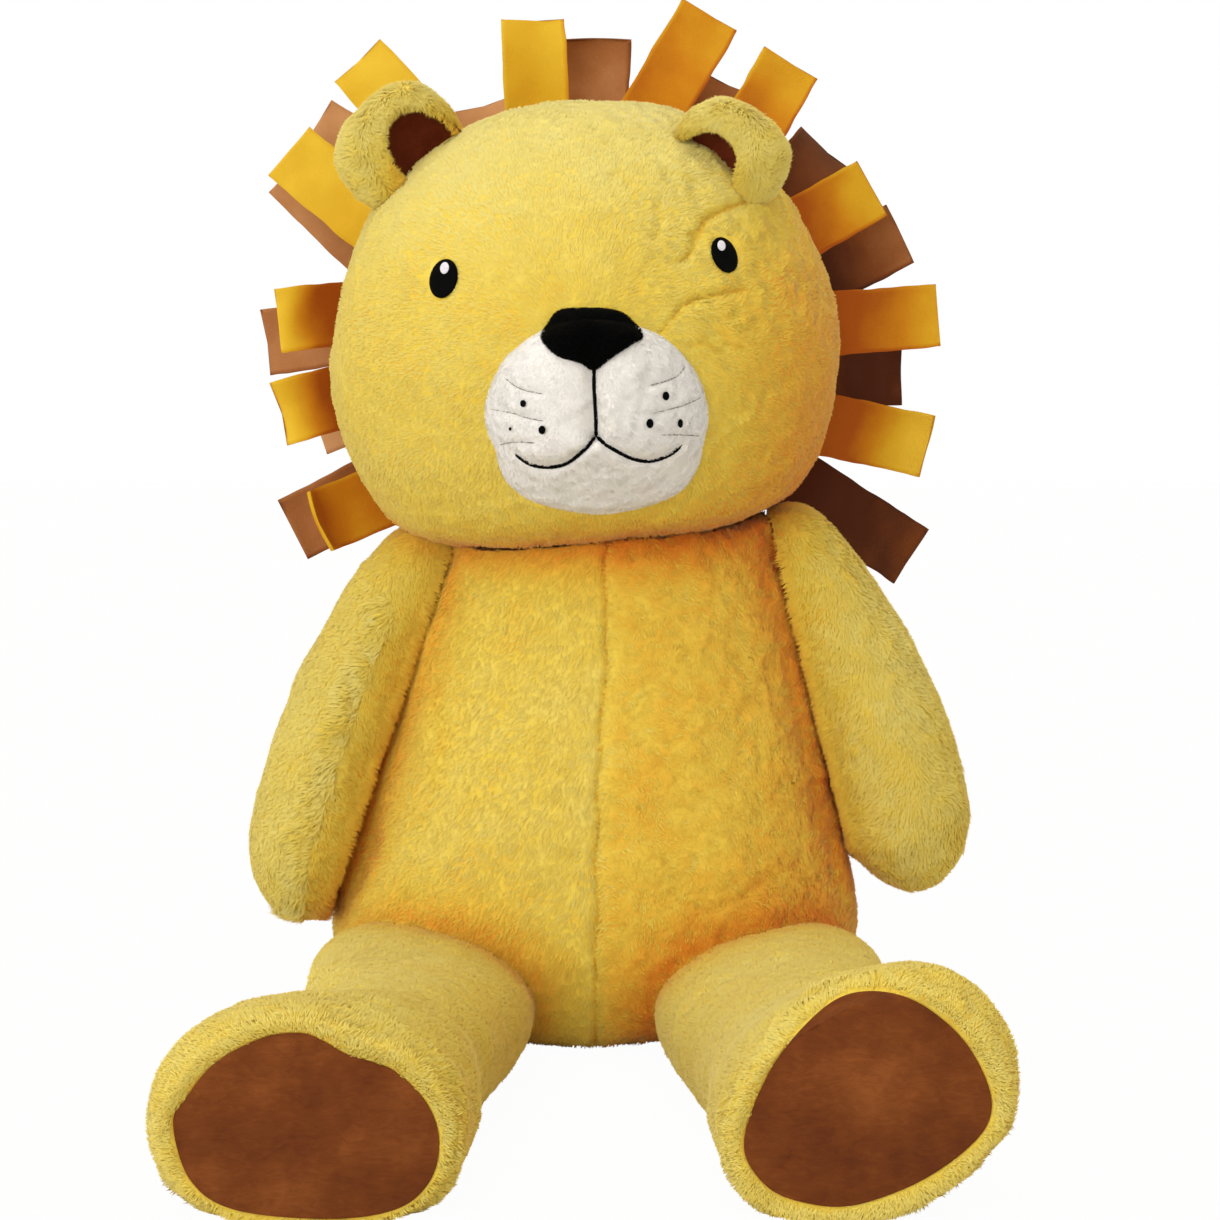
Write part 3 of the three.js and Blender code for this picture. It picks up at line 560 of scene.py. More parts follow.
yellow_pile = pile_material("yellow_pile", YELLOW_STOPS, sheen=0.35, tint="#ffeeb0")
yellow_backing = backing_material("yellow_backing", YELLOW_STOPS, sheen=0.3, tint="#ffeeb0")
white_pile = pile_material("white_pile", WHITE_STOPS, sheen=0.2, tint="#ffffff")
white_backing = backing_material("white_backing", WHITE_STOPS, sheen=0.15, tint="#ffffff", bump_scale=500)
brown_pile = pile_material("brown_pile", BROWN_STOPS, sheen=0.2, tint="#c98a60")
brown_backing = backing_material("brown_backing", BROWN_STOPS, sheen=0.1, tint="#c98a60")
felt = {colour: felt_material("felt_" + colour, stops) for colour, stops in FELT_STOPS.items()}
suede = suede_material()
thread_black = thread_material("thread_black", "#010101", "#030304", roughness=0.7)
thread_white = thread_material("thread_white", "#d9d5de", "#f6f3f8", roughness=0.5)
thread_grey = thread_material("thread_grey", "#857b76", "#a39a95", roughness=0.7)
velvet = velvet_material()
black_pile = pile_material("black_pile", BLACK_STOPS, sheen=0.0, tint="#8a7a8a")


def yellow_on(body):
    """What grown yellow pile is dressed in: its body, slot and material."""
    return body, "plush_yellow", yellow_pile


# The stuffed forms, with the sizes of the solids that they stand for


def bag(outline, half_width, front, behind, half_height, rings, sides):
    """Rings of a stuffed bag about an upright axis. Its outline is in shares of its half sizes."""
    share = line_through(outline, rings + 1)
    angle = full_turn(sides)
    depth = np.where(np.sin(angle) < 0, front, behind)
    width, height = share[:, :1], share[:, 1:]
    across = width * half_width * np.cos(angle)
    return np.stack([across, width * depth * np.sin(angle), height * half_height + 0 * across], -1)


def tube(spine, girth, across, rings, sides, flat_end=False, power=2.0):
    """Rings of a stuffed tube. girth gives its half width, half depth and side shift along its spine."""
    dense = line_through(spine, count=400)
    waves = np.cos(full_turn(sides)), np.sin(full_turn(sides))
    c, s = (np.sign(wave) * np.abs(wave) ** (2 / power) for wave in waves)
    rows = []
    for share in np.linspace(0, 1, rings + 1):
        if flat_end:
            eased = (share + math.sin(share * math.pi / 2)) / 2
        else:
            eased = (1 - math.cos(share * math.pi)) / 2
        where = min(max(eased, 0.002), 1)
        at = where * (len(dense) - 1)
        low = min(int(at), len(dense) - 2)
        step = dense[low + 1] - dense[low]
        forward = unit(step)
        centre = dense[low] + step * (at - low)
        wide = across(where)
        wide = unit(wide - (wide @ forward) * forward)
        deep = np.cross(forward, wide)
        half_width, half_depth, shift = girth(where)
        rows.append(centre + wide * (shift + half_width * c)[:, None] + deep * (half_depth * s)[:, None])
    return np.array(rows)


def round_ends(where, start, end=0.0):
    """The share of the full girth at a share of a tube, rounded over a stretch at its start and its end."""
    before = max(0, 1 - where / start)
    after = max(0, 1 - (1 - where) / end) if end else 0
    return math.sqrt(max(0.0004, (1 - before**2) * (1 - after**2)))


BODY = {"height": 350, "half_width": 184, "front": 147, "behind": 126, "lean": 18, "shift": -5}
FLANK_TOP, FLANK_LOW = np.array([0.65, 0.716]), np.array([0.955, -0.4])
FLANK_SHARES = (0, 0.35, 0.7, 1, 1.12)
BODY_OUTLINE = [(0.02, -1.003), (0.4, -1.003), (0.66, -1), (0.84, -0.956), (0.95, -0.86), (1, -0.69),
                (0.988, -0.53), *(FLANK_LOW + (FLANK_TOP - FLANK_LOW) * share for share in FLANK_SHARES),
                (0.55, 0.94), (0.4, 0.982), (0.22, 0.998), (0.03, 1)]


def place_body(points):
    placed = points + np.array([BODY["shift"] + BODY["lean"] / 2, 0, BODY["height"] / 2])
    placed[..., 0] += points[..., 2] * BODY["lean"] / BODY["height"]
    return placed


def body_rings(rings, sides):
    sizes = BODY["half_width"], BODY["front"], BODY["behind"], BODY["height"] / 2
    return place_body(bag(BODY_OUTLINE, *sizes, rings, sides))


HEAD = {"half_width": 175, "half_height": 150, "front": 142, "behind": 122}
HEAD_MIDDLE = np.array([-10.0, -12.0, 479.0])
HEAD_TURN = turned("y", -5) @ turned("z", 2.4)
HEAD_OUTLINE = [(0.02, -0.975), (0.34, -0.972), (0.56, -0.945), (0.77, -0.84), (0.92, -0.59), (0.99, -0.27),
                (0.985, -0.03), (0.93, 0.25), (0.855, 0.45), (0.745, 0.64), (0.56, 0.82), (0.36, 0.95),
                (0.03, 1.02)]


def head_rings(rings, sides):
    sizes = (HEAD[size] for size in ("half_width", "front", "behind", "half_height"))
    return bag(HEAD_OUTLINE, *sizes, rings, sides) @ HEAD_TURN.T + HEAD_MIDDLE


ARM = {"half_width": 44, "half_depth": 43, "bulge": 16, "forward": 46}
ARM_LENGTH = {"left": 281, "right": 275}
SHOULDER_HEIGHT = {"left": 336, "right": 348}
SHOULDER_OUTSET = {"left": 11, "right": 3.4}
ARM_TILT = {"left": 20.6, "right": 21.7}
ARM_GIRTH = [(0, 0.86), (0.2, 0.86), (0.4, 0.93), (0.6, 1), (0.8, 1), (1, 0.92)]
ARM_BULGE = [(0, -1.1), (0.1, -0.2), (0.28, 0.72), (0.52, 1), (0.77, 0.62), (1, 0)]


def flank(side):
    """A point on the body's flank, its outward normal and the way up along it."""
    sign = SIDES[side]
    top, low = (place_body(np.array([sign * width * BODY["half_width"], 0, height * BODY["height"] / 2]))
                for width, height in (FLANK_TOP, FLANK_LOW))
    up = unit(top - low)
    return top, np.array([sign * up[2], 0, -sign * up[0]]), up


def arm_rings(side, rings, sides):
    sign, tilt = SIDES[side], math.radians(ARM_TILT[side])
    down = np.array([sign * math.sin(tilt), 0, -math.cos(tilt)])
    out = np.array([sign * math.cos(tilt), 0, math.sin(tilt)])
    point, _, up = flank(side)
    shoulder = point + up * (SHOULDER_HEIGHT[side] - point[2]) / up[2]
    shoulder[0] += sign * SHOULDER_OUTSET[side]
    spine = [shoulder + down * share * ARM_LENGTH[side] + out * bulge * ARM["bulge"]
             - BACK * share * ARM["forward"] for share, bulge in ARM_BULGE]

    def girth(where):
        scale = share_at(ARM_GIRTH, where) * round_ends(where, start=0.14, end=0.2)
        return ARM["half_width"] * scale, ARM["half_depth"] * scale, 0

    return tube(spine, girth, lambda where: out, rings, sides)


INNER_SLIMMING = {"left": 4, "right": 7}
LEG = {"length": 376, "half_width": 75, "half_height": 39, "setback": 58, "spread": 114, "hip": 38, "tilt": 9}
FOOT = {"half_length": 84, "half_width": 60, "shift": 39}
ANKLE = {"left": (113, 48), "right": (111, 40)}
TOE_TILT = {"left": 4, "right": 30}
LEG_WIDTH = [(0, 0.94), (0.16, 1), (0.42, 0.92), (0.64, 0.76), (0.74, 0.76), (0.84, 0.97), (0.93, 1), (1, 1)]
LEG_HEIGHT = [(0, 0.95), (0.16, 1), (0.42, 1.05), (0.64, 1.18), (0.74, 1.16), (0.84, 1), (0.93, 1), (1, 1)]
TOE_SHIFT = [(0, 0), (0.42, 0), (0.64, 0.03), (0.74, 0.2), (0.84, 0.7), (0.93, 1), (1, 1)]


def leg_rings(side, rings, sides):
    sign, (spread, height) = SIDES[side], ANKLE[side]
    hip = np.array([sign * LEG["spread"], -LEG["setback"], LEG["hip"]], float)
    ankle = np.array([sign * spread, -LEG["setback"] - LEG["length"], height], float)

    def across(where):
        share = float(smooth_step(0.3, 0.85, where))
        tilt = math.radians(LEG["tilt"] + (TOE_TILT[side] - LEG["tilt"]) * share)
        return np.array([sign * math.cos(tilt), 0, math.sin(tilt)])

    def girth(where):
        foot = float(smooth_step(0.7, 0.9, where))
        scale = round_ends(where, start=0.1) * (1 - 0.1 * float(smooth_step(0.955, 1, where)))
        width = LEG["half_width"] + (FOOT["half_length"] - LEG["half_width"]) * foot
        height = LEG["half_height"] + (FOOT["half_width"] - LEG["half_height"]) * foot
        slim = INNER_SLIMMING[side] / 2 * float(smooth_step(0.3, 0.6, where) * smooth_step(0.97, 0.8, where))
        half_width = width * share_at(LEG_WIDTH, where) * scale - slim
        half_height = height * share_at(LEG_HEIGHT, where) * scale
        return half_width, half_height, FOOT["shift"] * share_at(TOE_SHIFT, where) + slim

    return tube([hip, (hip + ankle) / 2, ankle], girth, across, rings, sides, flat_end=True, power=2.2)


# Coarse forms, which tell the parts where their neighbours are
FORMS = {"body": Skin(body_rings(rings=90, sides=140)), "head": Skin(head_rings(rings=90, sides=150))}
for side in SIDES:
    FORMS["arm_" + side] = Skin(arm_rings(side, rings=60, sides=60))
    FORMS["leg_" + side] = Skin(leg_rings(side, rings=60, sides=60))
TREES = {name: form.tree() for name, form in FORMS.items()}
body_form, head_form = TREES["body"], TREES["head"]
NEIGHBOUR_REACH = 60


def recess(points, name):
    """How deep points lie between this part and its neighbours, from 0 in the open to 1 in a groove, which
    sets the painted shade of warm_shade. It is less where two parts touch, so that a part that is moved away
    isn't painted dark there."""
    near = np.full(len(points), 1e9)
    for other, tree in TREES.items():
        if other != name:
            form = FORMS[other].points
            low, high = form.min(0) - NEIGHBOUR_REACH, form.max(0) + NEIGHBOUR_REACH
            for index in np.flatnonzero(((points > low) & (points < high)).all(1)):
                near[index] = min(near[index], tree.find_nearest(Vector(points[index]))[3])
    return np.exp(-((near / 24) ** 1.3)) * (1 - 0.55 * hump(near, 3.5))


# The way from which the painted shade takes its light
LIT_FROM = unit(np.array([-0.5, -0.75, 0.45]))


def warm_shade(skin, name, depth):
    """The tone of pile with painted shade: it turns orange where it lies between two parts or is turned away
    from the light.
    """
    away = smooth_step(0.55, -0.45, skin.normals() @ LIT_FROM)
    behind = smooth_step(10, 90, skin.points[:, 1])
    return -depth * recess(skin.points, name) * (1 - 0.5 * behind) - 0.17 * away


def backing_tone(skin, seed, tone=0.0):
    """The tone of the cloth under the pile: a little deeper than the pile's own, as painted shade under the
    fibres, plus any painted shade in tone.
    """
    return 0.5 + tone + 0.05 * noise(skin.points, 30, seed) + 0.03 * noise(skin.points, 9, seed + 1)


def stuffed(skin, seed, lumps=2.2, dents=1.0, ridges=1.0):
    """Uneven stuffing, creases and locks of pile on a skin."""
    height = lumps * noise(skin.points, 85, seed) + dents * noise(skin.points, 30, seed + 1)
    height += ridges * np.clip(0.84 - 6 * np.abs(noise(skin.points, 48, seed + 2)), 0, 1)
    height += 0.55 * noise(skin.points, (9, 9, 13), seed + 3)
    skin.swell(height)


def add_yellow(name, skin, body, replaced, fill, seed, tone=0.0):
    """Adds a piece of yellow plush without its pile."""
    shade = backing_tone(skin, seed, tone)
    add_piece(name, skin, body, "plush_yellow", yellow_backing, replaced, fill, shade)


# Body. Folds have a path of pixels, a width in pixels and a depth in mm

FLOOR_LEVEL = 0.4
SEAT_LEVEL = 1.5
SHOULDER_FILL = {"left": 12, "right": 15}
SHOULDER_PLACE = (0.6, 0.46)
SEAM = [(606, 520), (608, 542), (604, 563), (607, 598), (605, 633), (608, 664), (605, 694), (601, 724),
        (602, 755), (597, 786), (600, 817), (596, 863), (599, 909), (594, 948), (597, 985), (596, 1040)]
BODY_FOLDS = [([(742, 900), (757, 886), (778, 872)], 5, 1.2), ([(690, 921), (722, 905), (742, 900)], 5, 0.7),
              ([(640, 740), (655, 752), (662, 772)], 7, 0.6), ([(440, 690), (446, 730), (440, 780)], 9, 0.6)]


def fill_shoulder(side, sign):
    """Fills out the body's corner under the head, up to the plane of the flank."""
    across, height = SHOULDER_PLACE
    corner = place_body(np.array([sign * across * BODY["half_width"], 0, height * BODY["height"]]))
    away = np.hypot(*(body.points - corner)[:, [0, 2]].T)
    fuller = SHOULDER_FILL[side] * hump(away, 24) * hump(body.points[:, 1], 60)
    body.points += fuller[:, None] * unit(np.array([sign * 0.5, 0, 0.85]))
    point, outward, _ = flank(side)
    beyond = np.maximum((body.points - point) @ outward + 0.6, 0)[:, None]
    body.points -= beyond * outward * (body.points[:, 2:] > point[2])


def press_to_arm(side):
    """Brings the flank closer to the flat side of its arm."""
    point, outward, _ = flank(side)
    depth = (body.points - point) @ outward
    _, y, z = body.points.T
    pressed = smooth_step(-110, -70, y) * smooth_step(30, 0, y) * smooth_step(-15, -7, depth)
    pressed *= smooth_step(60, 110, z) * smooth_step(330, 290, z)
    body.points -= (0.8 * pressed * np.minimum(depth + 0.3, 0))[:, None] * outward


body = Skin(body_rings(rings=200, sides=330))
body.resting = body.points[:, 2] < SEAT_LEVEL
for side, sign in SIDES.items():
    fill_shoulder(side, sign)
    press_to_arm(side)
body.keep_out_of(head_form, gap=2.0, near=body.points[:, 2] > 290)
body.resting &= body.points[:, 2] < SEAT_LEVEL
unstuffed = body.points
stuffed(body, seed=11)
for point, outward, _ in map(flank, SIDES):
    depth, moved = (unstuffed - point) @ outward, (body.points - point) @ outward
    wanted = np.clip(moved, depth - 0.3, depth + 0.3)
    body.points += outward * ((wanted - moved) * smooth_step(-5, -2, depth))[:, None]

# The pile is smooth and combed down on the left of the seam, and curlier and combed across on its right
right_half = smooth_step(-12, 25, right_of(to_pixels(body.points), SEAM)) * (body.points[:, 1] < 0)
body.swell(0.8 * noise(body.points, (6, 6, 4.5), 17) * (0.35 + 0.65 * right_half))
body.groove(SEAM, 4.5, 3.0)
for fold in BODY_FOLDS:
    body.groove(*fold)
body.stay_above(FLOOR_LEVEL)
# Painted shade: orange between parts and away from the light, deeper on the right half, where the pile is
# combed across, and darker on the chest under the chin
body_shaded_tone = warm_shade(body, "body", 0.34) + 0.04 - 0.12 * right_half
body_shaded_tone -= 0.1 * smooth_step(300, 345, body.points[:, 2]) * smooth_step(60, -20, body.points[:, 1])
add_yellow("body_plush", body, "body", ["body_cover", "body_filling"], fill=0.8, seed=15, tone=body_shaded_tone)
over = right_half[:, None]
combed = np.array([-0.3, 0, -1.0]) * (1 - over) + np.array([-0.9, 0, 0.5]) * over
# The pile is darkened as painted shade along the seam and in the folds
grow_pile("body_pile", body, 124000, SOFT, combed, yellow_on("body"), seed=101, tone=body_shaded_tone,
          rough=0.34 + 0.76 * right_half,
          crease_shade=[(SEAM, 2.6, 0.25)] + [(path, width * 0.8, 0.1) for path, width, _ in BODY_FOLDS])

# Head

FACE_FOLDS = [([(698, 236), (703, 221), (719, 212), (744, 203)], 4.5, 1.8),
              ([(662, 331), (681, 306), (698, 298), (741, 290)], 4.0, 1.5),
              ([(686, 259), (692, 247), (691, 234)], 3.5, 1.3),
              ([(668, 262), (681, 262), (689, 258)], 3.0, 1.0),
              ([(612, 178), (620, 173), (628, 186)], 4, 0.9),
              ([(665, 175), (681, 176), (694, 183)], 3.5, 0.9),
              ([(690, 345), (703, 341), (717, 352)], 4, 0.8),
              ([(720, 330), (727, 343), (741, 349)], 4, 0.8),
              ([(656, 205), (660, 222), (655, 239)], 3.5, 0.8)]
FACE_RIDGES = [([(479, 262), (492, 299), (499, 325)], 9, 0.9), ([(414, 222), (432, 214), (446, 203)], 7, 0.6)]

head = Skin(head_rings(rings=200, sides=330))
head.keep_out_of(body_form, gap=0.4, near=head.points[:, 2] < 400)
stuffed(head, seed=23, lumps=2.0, dents=0.9)
x, _, z = head.points.T
tousled = (0.25 + 0.4 * smooth_step(430, 370, z) + 0.75 * smooth_step(0, 70, x) * smooth_step(420, 500, z)
           + 0.35 * smooth_step(30, 120, x) + 0.3 * smooth_step(570, 610, z))
wrinkles = 1 - 2.4 * np.abs(noise(head.points, (13, 13, 17), 29))
head.swell(0.8 * np.clip(wrinkles, -0.3, 1) * np.clip(tousled - 0.3, 0, 1))
for path, width, depth in FACE_FOLDS:
    head.groove(path, width, depth * 1.8)
for path, width, rise in FACE_RIDGES:
    head.groove(path, width, -rise)
head_skin_tree = head.tree()
x, _, z = head.points.T
# Painted light and shade: the top of the head is paler and its right side deeper
lit_top_shaded_right = 0.16 * smooth_step(480, 620, z) - 0.2 * smooth_step(50, 150, x)
head_shaded_tone = warm_shade(head, "head", 0.32) + lit_top_shaded_right + 0.02
add_yellow("head_plush", head, "head", ["head_cover", "head_filling"], fill=0.9, seed=27, tone=head_shaded_tone)

# Muzzle, nose, eyes and their sewn lines, laid on the head by the photograph's pixels

MUZZLE_MIDDLE = np.array([596.0, 425.0])
MUZZLE = [(540, 333), (524, 343), (504, 362), (490, 392), (486, 415), (489, 432), (497, 451), (501, 467),
          (513, 487), (541, 503), (599, 513), (650, 504), (680, 490), (697, 466), (703, 440), (707, 416),
          (702, 388), (687, 362), (662, 338), (630, 326), (592, 321), (560, 325)]
NOSE = [(542, 338), (549, 324), (561, 311), (590, 309), (614, 311), (628, 318), (642, 335), (630, 344),
        (608, 359), (594, 369), (580, 362), (557, 354)]
MUZZLE_RISE, NOSE_RISE = 25, 11
PHILTRUM = [(594, 366), (594, 386), (595, 402), (596, 420), (596, 437)]
MOUTH = {"left": [(596, 436), (585, 449), (567, 463), (549, 467), (530, 464), (514, 453)],
         "right": [(596, 436), (608, 446), (631, 458), (650, 461), (669, 455), (682, 445)]}
WHISKERS = {"left_1": [(504, 377), (515, 386), (528, 391), (543, 394)],
            "left_2": [(490, 409), (512, 413), (528, 418), (544, 421)],
            "left_3": [(499, 445), (515, 442), (535, 443)],
            "right_1": [(648, 386), (663, 382), (677, 376), (686, 366)],
            "right_2": [(654, 413), (671, 409), (687, 404), (702, 397)],
            "right_3": [(661, 435), (684, 435), (700, 436)]}

BUTTON_CORNERS = 14

# The middle, half width, half height and tilt of each button of stitches
DOTS = {"left_1": (523, 403.5, 3, 3.6, 0), "left_2": (542, 430, 3.6, 4.4, 0),
        "left_3": (510, 429, 1.4, 1.8, 0), "right_1": (666, 396, 3.4, 4.4, 0),
        "right_2": (650, 423.5, 3.6, 4.8, 0), "right_3": (680.5, 423.5, 2.6, 4.4, 0)}
EYES = {"left": (443.5, 278.5, 13.8, 20, 15), "right": (724.5, 255, 12.2, 18.8, -23)}
GLINTS = {"left": (444.5, 268, 4.4, 6, 10), "right": (721.5, 245.5, 4, 5.3, -12)}


def first_hits(trees, ways):
    """The places at which rays from the camera first meet some surfaces, and how far away they are."""
    hits = []
    for way in ways:
        met = [tree.ray_cast(Vector(CAMERA_PLACE), Vector(way)) for tree in trees]
        hits.append(min((hit for hit in met if hit[0] is not None), key=lambda hit: hit[3]))
    return np.array([hit[0] for hit in hits]), np.array([hit[3] for hit in hits])


def pillow(outline, middle, trees, height, rings, sides, tuck=2.5):
    """A closed pad over an outline of pixels: rings from its middle to its edge, then a back. height gives
    its rise towards the camera, from the pixels of a ring and the ring's share of the way to the edge."""
    edge = line_through(outline, sides, closed=True)
    rows, under = [], []
    shares = np.r_[np.sin(np.linspace(0.02, 1, rings) * math.pi / 2), 1.0]
    for index, share in enumerate(shares):
        pixels = middle + (edge - middle) * share
        ways = rays(pixels)
        _, reach = first_hits(trees, ways)
        rise = height(pixels, share) if index < rings else -tuck
        rows.append(CAMERA_PLACE + ways * (reach - rise)[:, None])
        under.append(CAMERA_PLACE + ways * (reach + tuck)[:, None])
    back = [under[k] for k in range(rings - 1, -1, -max(1, rings // 6))]
    return Skin(np.array(rows + back))


def button(name, place, trees, material, rings, sides, rise, power, lift=0.0, tuck=2.5, replaced=()):
    """An oval pad of stitches on the face."""
    x, y, half_width, half_height, tilt = place
    c, s = math.cos(math.radians(tilt)), math.sin(math.radians(tilt))
    angle = full_turn(BUTTON_CORNERS)
    flat = np.stack([half_width * np.cos(angle), -half_height * np.sin(angle)], 1)
    outline = flat @ np.array([[c, s], [-s, c]]) + np.array([x, y])

    def height(pixels, share):
        return rise * math.sqrt(max(0.0, 1 - share**power)) + lift

    skin = pillow(outline, np.array([x, y]), trees, height, rings, sides, tuck)
    add_piece(name, skin, "head", "thread_black", material, replaced)
    return skin


def sewn_line(name, path, material, half_width=1.3, rise=1.9, count=70):
    """A raised line of stitches along pixels of the muzzle, with thinner ends."""
    ways = rays(line_through(path, count))
    places, _ = first_hits([muzzle_tree], ways)
    forward = unit(np.gradient(places, axis=0))
    out = unit(-ways - (-(ways * forward).sum(1))[:, None] * forward)
    across = np.cross(forward, out)
    c, s = np.cos(full_turn(8))[:, None], np.sin(full_turn(8))[:, None]
    step = np.arange(count)
    thick = np.clip(np.minimum(step, step[::-1]) / 3, 0.25, 1) * (1 + 0.12 * np.sin(step * 2.1))
    rows = [place + raised * rise * s * t + wide * half_width * c * t
            for place, raised, wide, t in zip(places, out, across, thick)]
    add_piece(name, Skin(np.array(rows)), "head", "thread_black", material)


def flat_noise(pixels, size, seed):
    return noise(np.c_[pixels, np.zeros(len(pixels))], size, seed)


def muzzle_height(pixels, share):
    x, y = pixels.T
    dome = MUZZLE_RISE * np.sqrt(np.maximum(0, 1 - share**2.8))
    lobes = 5.5 * hump(x - 595, 11) * smooth_step(452, 425, y)
    chin = 5.0 * smooth_step(448, 475, y)
    mouth = sum(3.0 * hump(distance_to(pixels, path), 5) for path in MOUTH.values())
    tucks = sum(1.1 * hump(distance_to(pixels, path), 3.2) for path in WHISKERS.values())
    crumple = flat_noise(pixels, (34, 15, 9), 5) * smooth_step(455, 480, y) + 0.3 * flat_noise(pixels, 26, 6)
    return dome - (lobes + chin + mouth + tucks - crumple) * smooth_step(1, 0.8, share)


def nose_height(pixels, share):
    fuller_above = 0.82 + 0.18 * smooth_step(365, 325, pixels[:, 1])
    return NOSE_RISE * np.sqrt(np.maximum(0, 1 - share**3)) * fuller_above


muzzle = pillow(MUZZLE, MUZZLE_MIDDLE, [head_skin_tree], muzzle_height, rings=46, sides=150)
muzzle_tree = muzzle.tree()
add_piece("muzzle_plush", muzzle, "head", "plush_white", white_backing, ["muzzle"], fill=0.8,
          tone=backing_tone(muzzle, seed=31, tone=0.24))
stitched = [(PHILTRUM, 2.1), *((path, 2.1) for path in MOUTH.values()),
            *((path, 0.9) for path in WHISKERS.values())]
combed = unit(muzzle.points - muzzle.points.mean(0)) * 0.8 - UP
grow_pile("muzzle_pile", muzzle, 26000, VELVET, combed, ("head", "plush_white", white_pile), seed=131,
          where=muzzle.facing() > -0.35, tone=0.22, bare=stitched)

nose = pillow(NOSE, np.array([593.0, 333.0]), [head_skin_tree, muzzle_tree], nose_height, rings=26, sides=90)
add_piece("nose_velvet", nose, "head", "velvet_black", velvet, ["nose"], fill=0.8,
          tone=backing_tone(nose, seed=33))
combed = nose.points - nose.points.mean(0) - UP * 8
grow_pile("nose_pile", nose, 9000, VELVET, combed, ("head", "velvet_black", black_pile), seed=137,
          where=nose.facing() > -0.5)

for side in SIDES:
    eye = button("eye_stitching_" + side, EYES[side], [head_skin_tree], thread_black, rings=12, sides=56,
                 rise=2.6, power=4, lift=1.2, replaced=["eye_" + side])
    button("eye_glint_" + side, GLINTS[side], [eye.tree()], thread_white, rings=7, sides=32, rise=0.7,
           power=4, tuck=0.3)
sewn_line("philtrum_stitching", PHILTRUM, thread_black)
for side, path in MOUTH.items():
    sewn_line("mouth_stitching_" + side, path, thread_black)
for name, path in WHISKERS.items():
    sewn_line("whisker_stitching_" + name, path, thread_grey, half_width=0.42, rise=0.9, count=40)
for name, place in DOTS.items():
    button("whisker_dot_" + name, place, [muzzle_tree], thread_black, rings=6, sides=20, rise=1.2, power=3,
           lift=1.2, tuck=0.6)


BACK_OF_FACE = -60


def clear_of_face():
    """Where pile may grow on the head: not under the muzzle, the nose or the eyes."""
    pixels = to_pixels(head.points)
    covered = np.zeros(len(pixels), bool)
    for outline, middle in ((MUZZLE, MUZZLE_MIDDLE), (NOSE, (593, 335))):
        covered |= inside(pixels, line_through(outline, count=80, closed=True), middle, share=0.97)
    for x, y, half_width, half_height, _ in EYES.values():
        covered |= np.hypot((pixels[:, 0] - x) / half_width, (pixels[:, 1] - y) / half_height) < 1.02
    return ~(covered & (head.points[:, 1] < BACK_OF_FACE))


# The pile of the head lies away from the nose, downwards and back
from_nose = unit((head.points - HEAD_MIDDLE) @ HEAD_TURN - np.array([0.0, -HEAD["front"], -20.0]))
# Its pile is darkened as painted shade in the face's folds
grow_pile("head_pile", head, 124000, SMOOTH, from_nose + np.array([0.0, 0.4, -0.35]), yellow_on("head"),
          seed=141, where=clear_of_face(), tone=head_shaded_tone, rough=tousled,
          crease_shade=[(path, width * 0.8, depth * 0.15) for path, width, depth in FACE_FOLDS])

# Ears

EAR = {"half_width": 43, "height": 58, "depth": 20, "root": 16}
EAR_SPREAD = {"left": 98, "right": 89}
EAR_LIFT = {"left": 110, "right": 82}
EAR_FORWARD = {"left": 26, "right": 57}
EAR_LEAN = {"left": 38, "right": 40}
EAR_NOD = {"left": 4, "right": 24}
EAR_HOLLOW = {"half_width": 25, "half_height": 33, "depth": 21, "shift": 10, "drop": 3}
EAR_SLIMMING = {"left": 0.96, "right": 0.86}
LINING = {"share": 0.96, "half_thickness": 0.6}
EAR_OUTLINE = [(0.03, -1), (0.5, -0.9), (0.85, -0.6), (0.98, -0.2), (1, 0.15), (0.94, 0.5), (0.76, 0.8),
               (0.42, 0.97), (0.03, 1)]

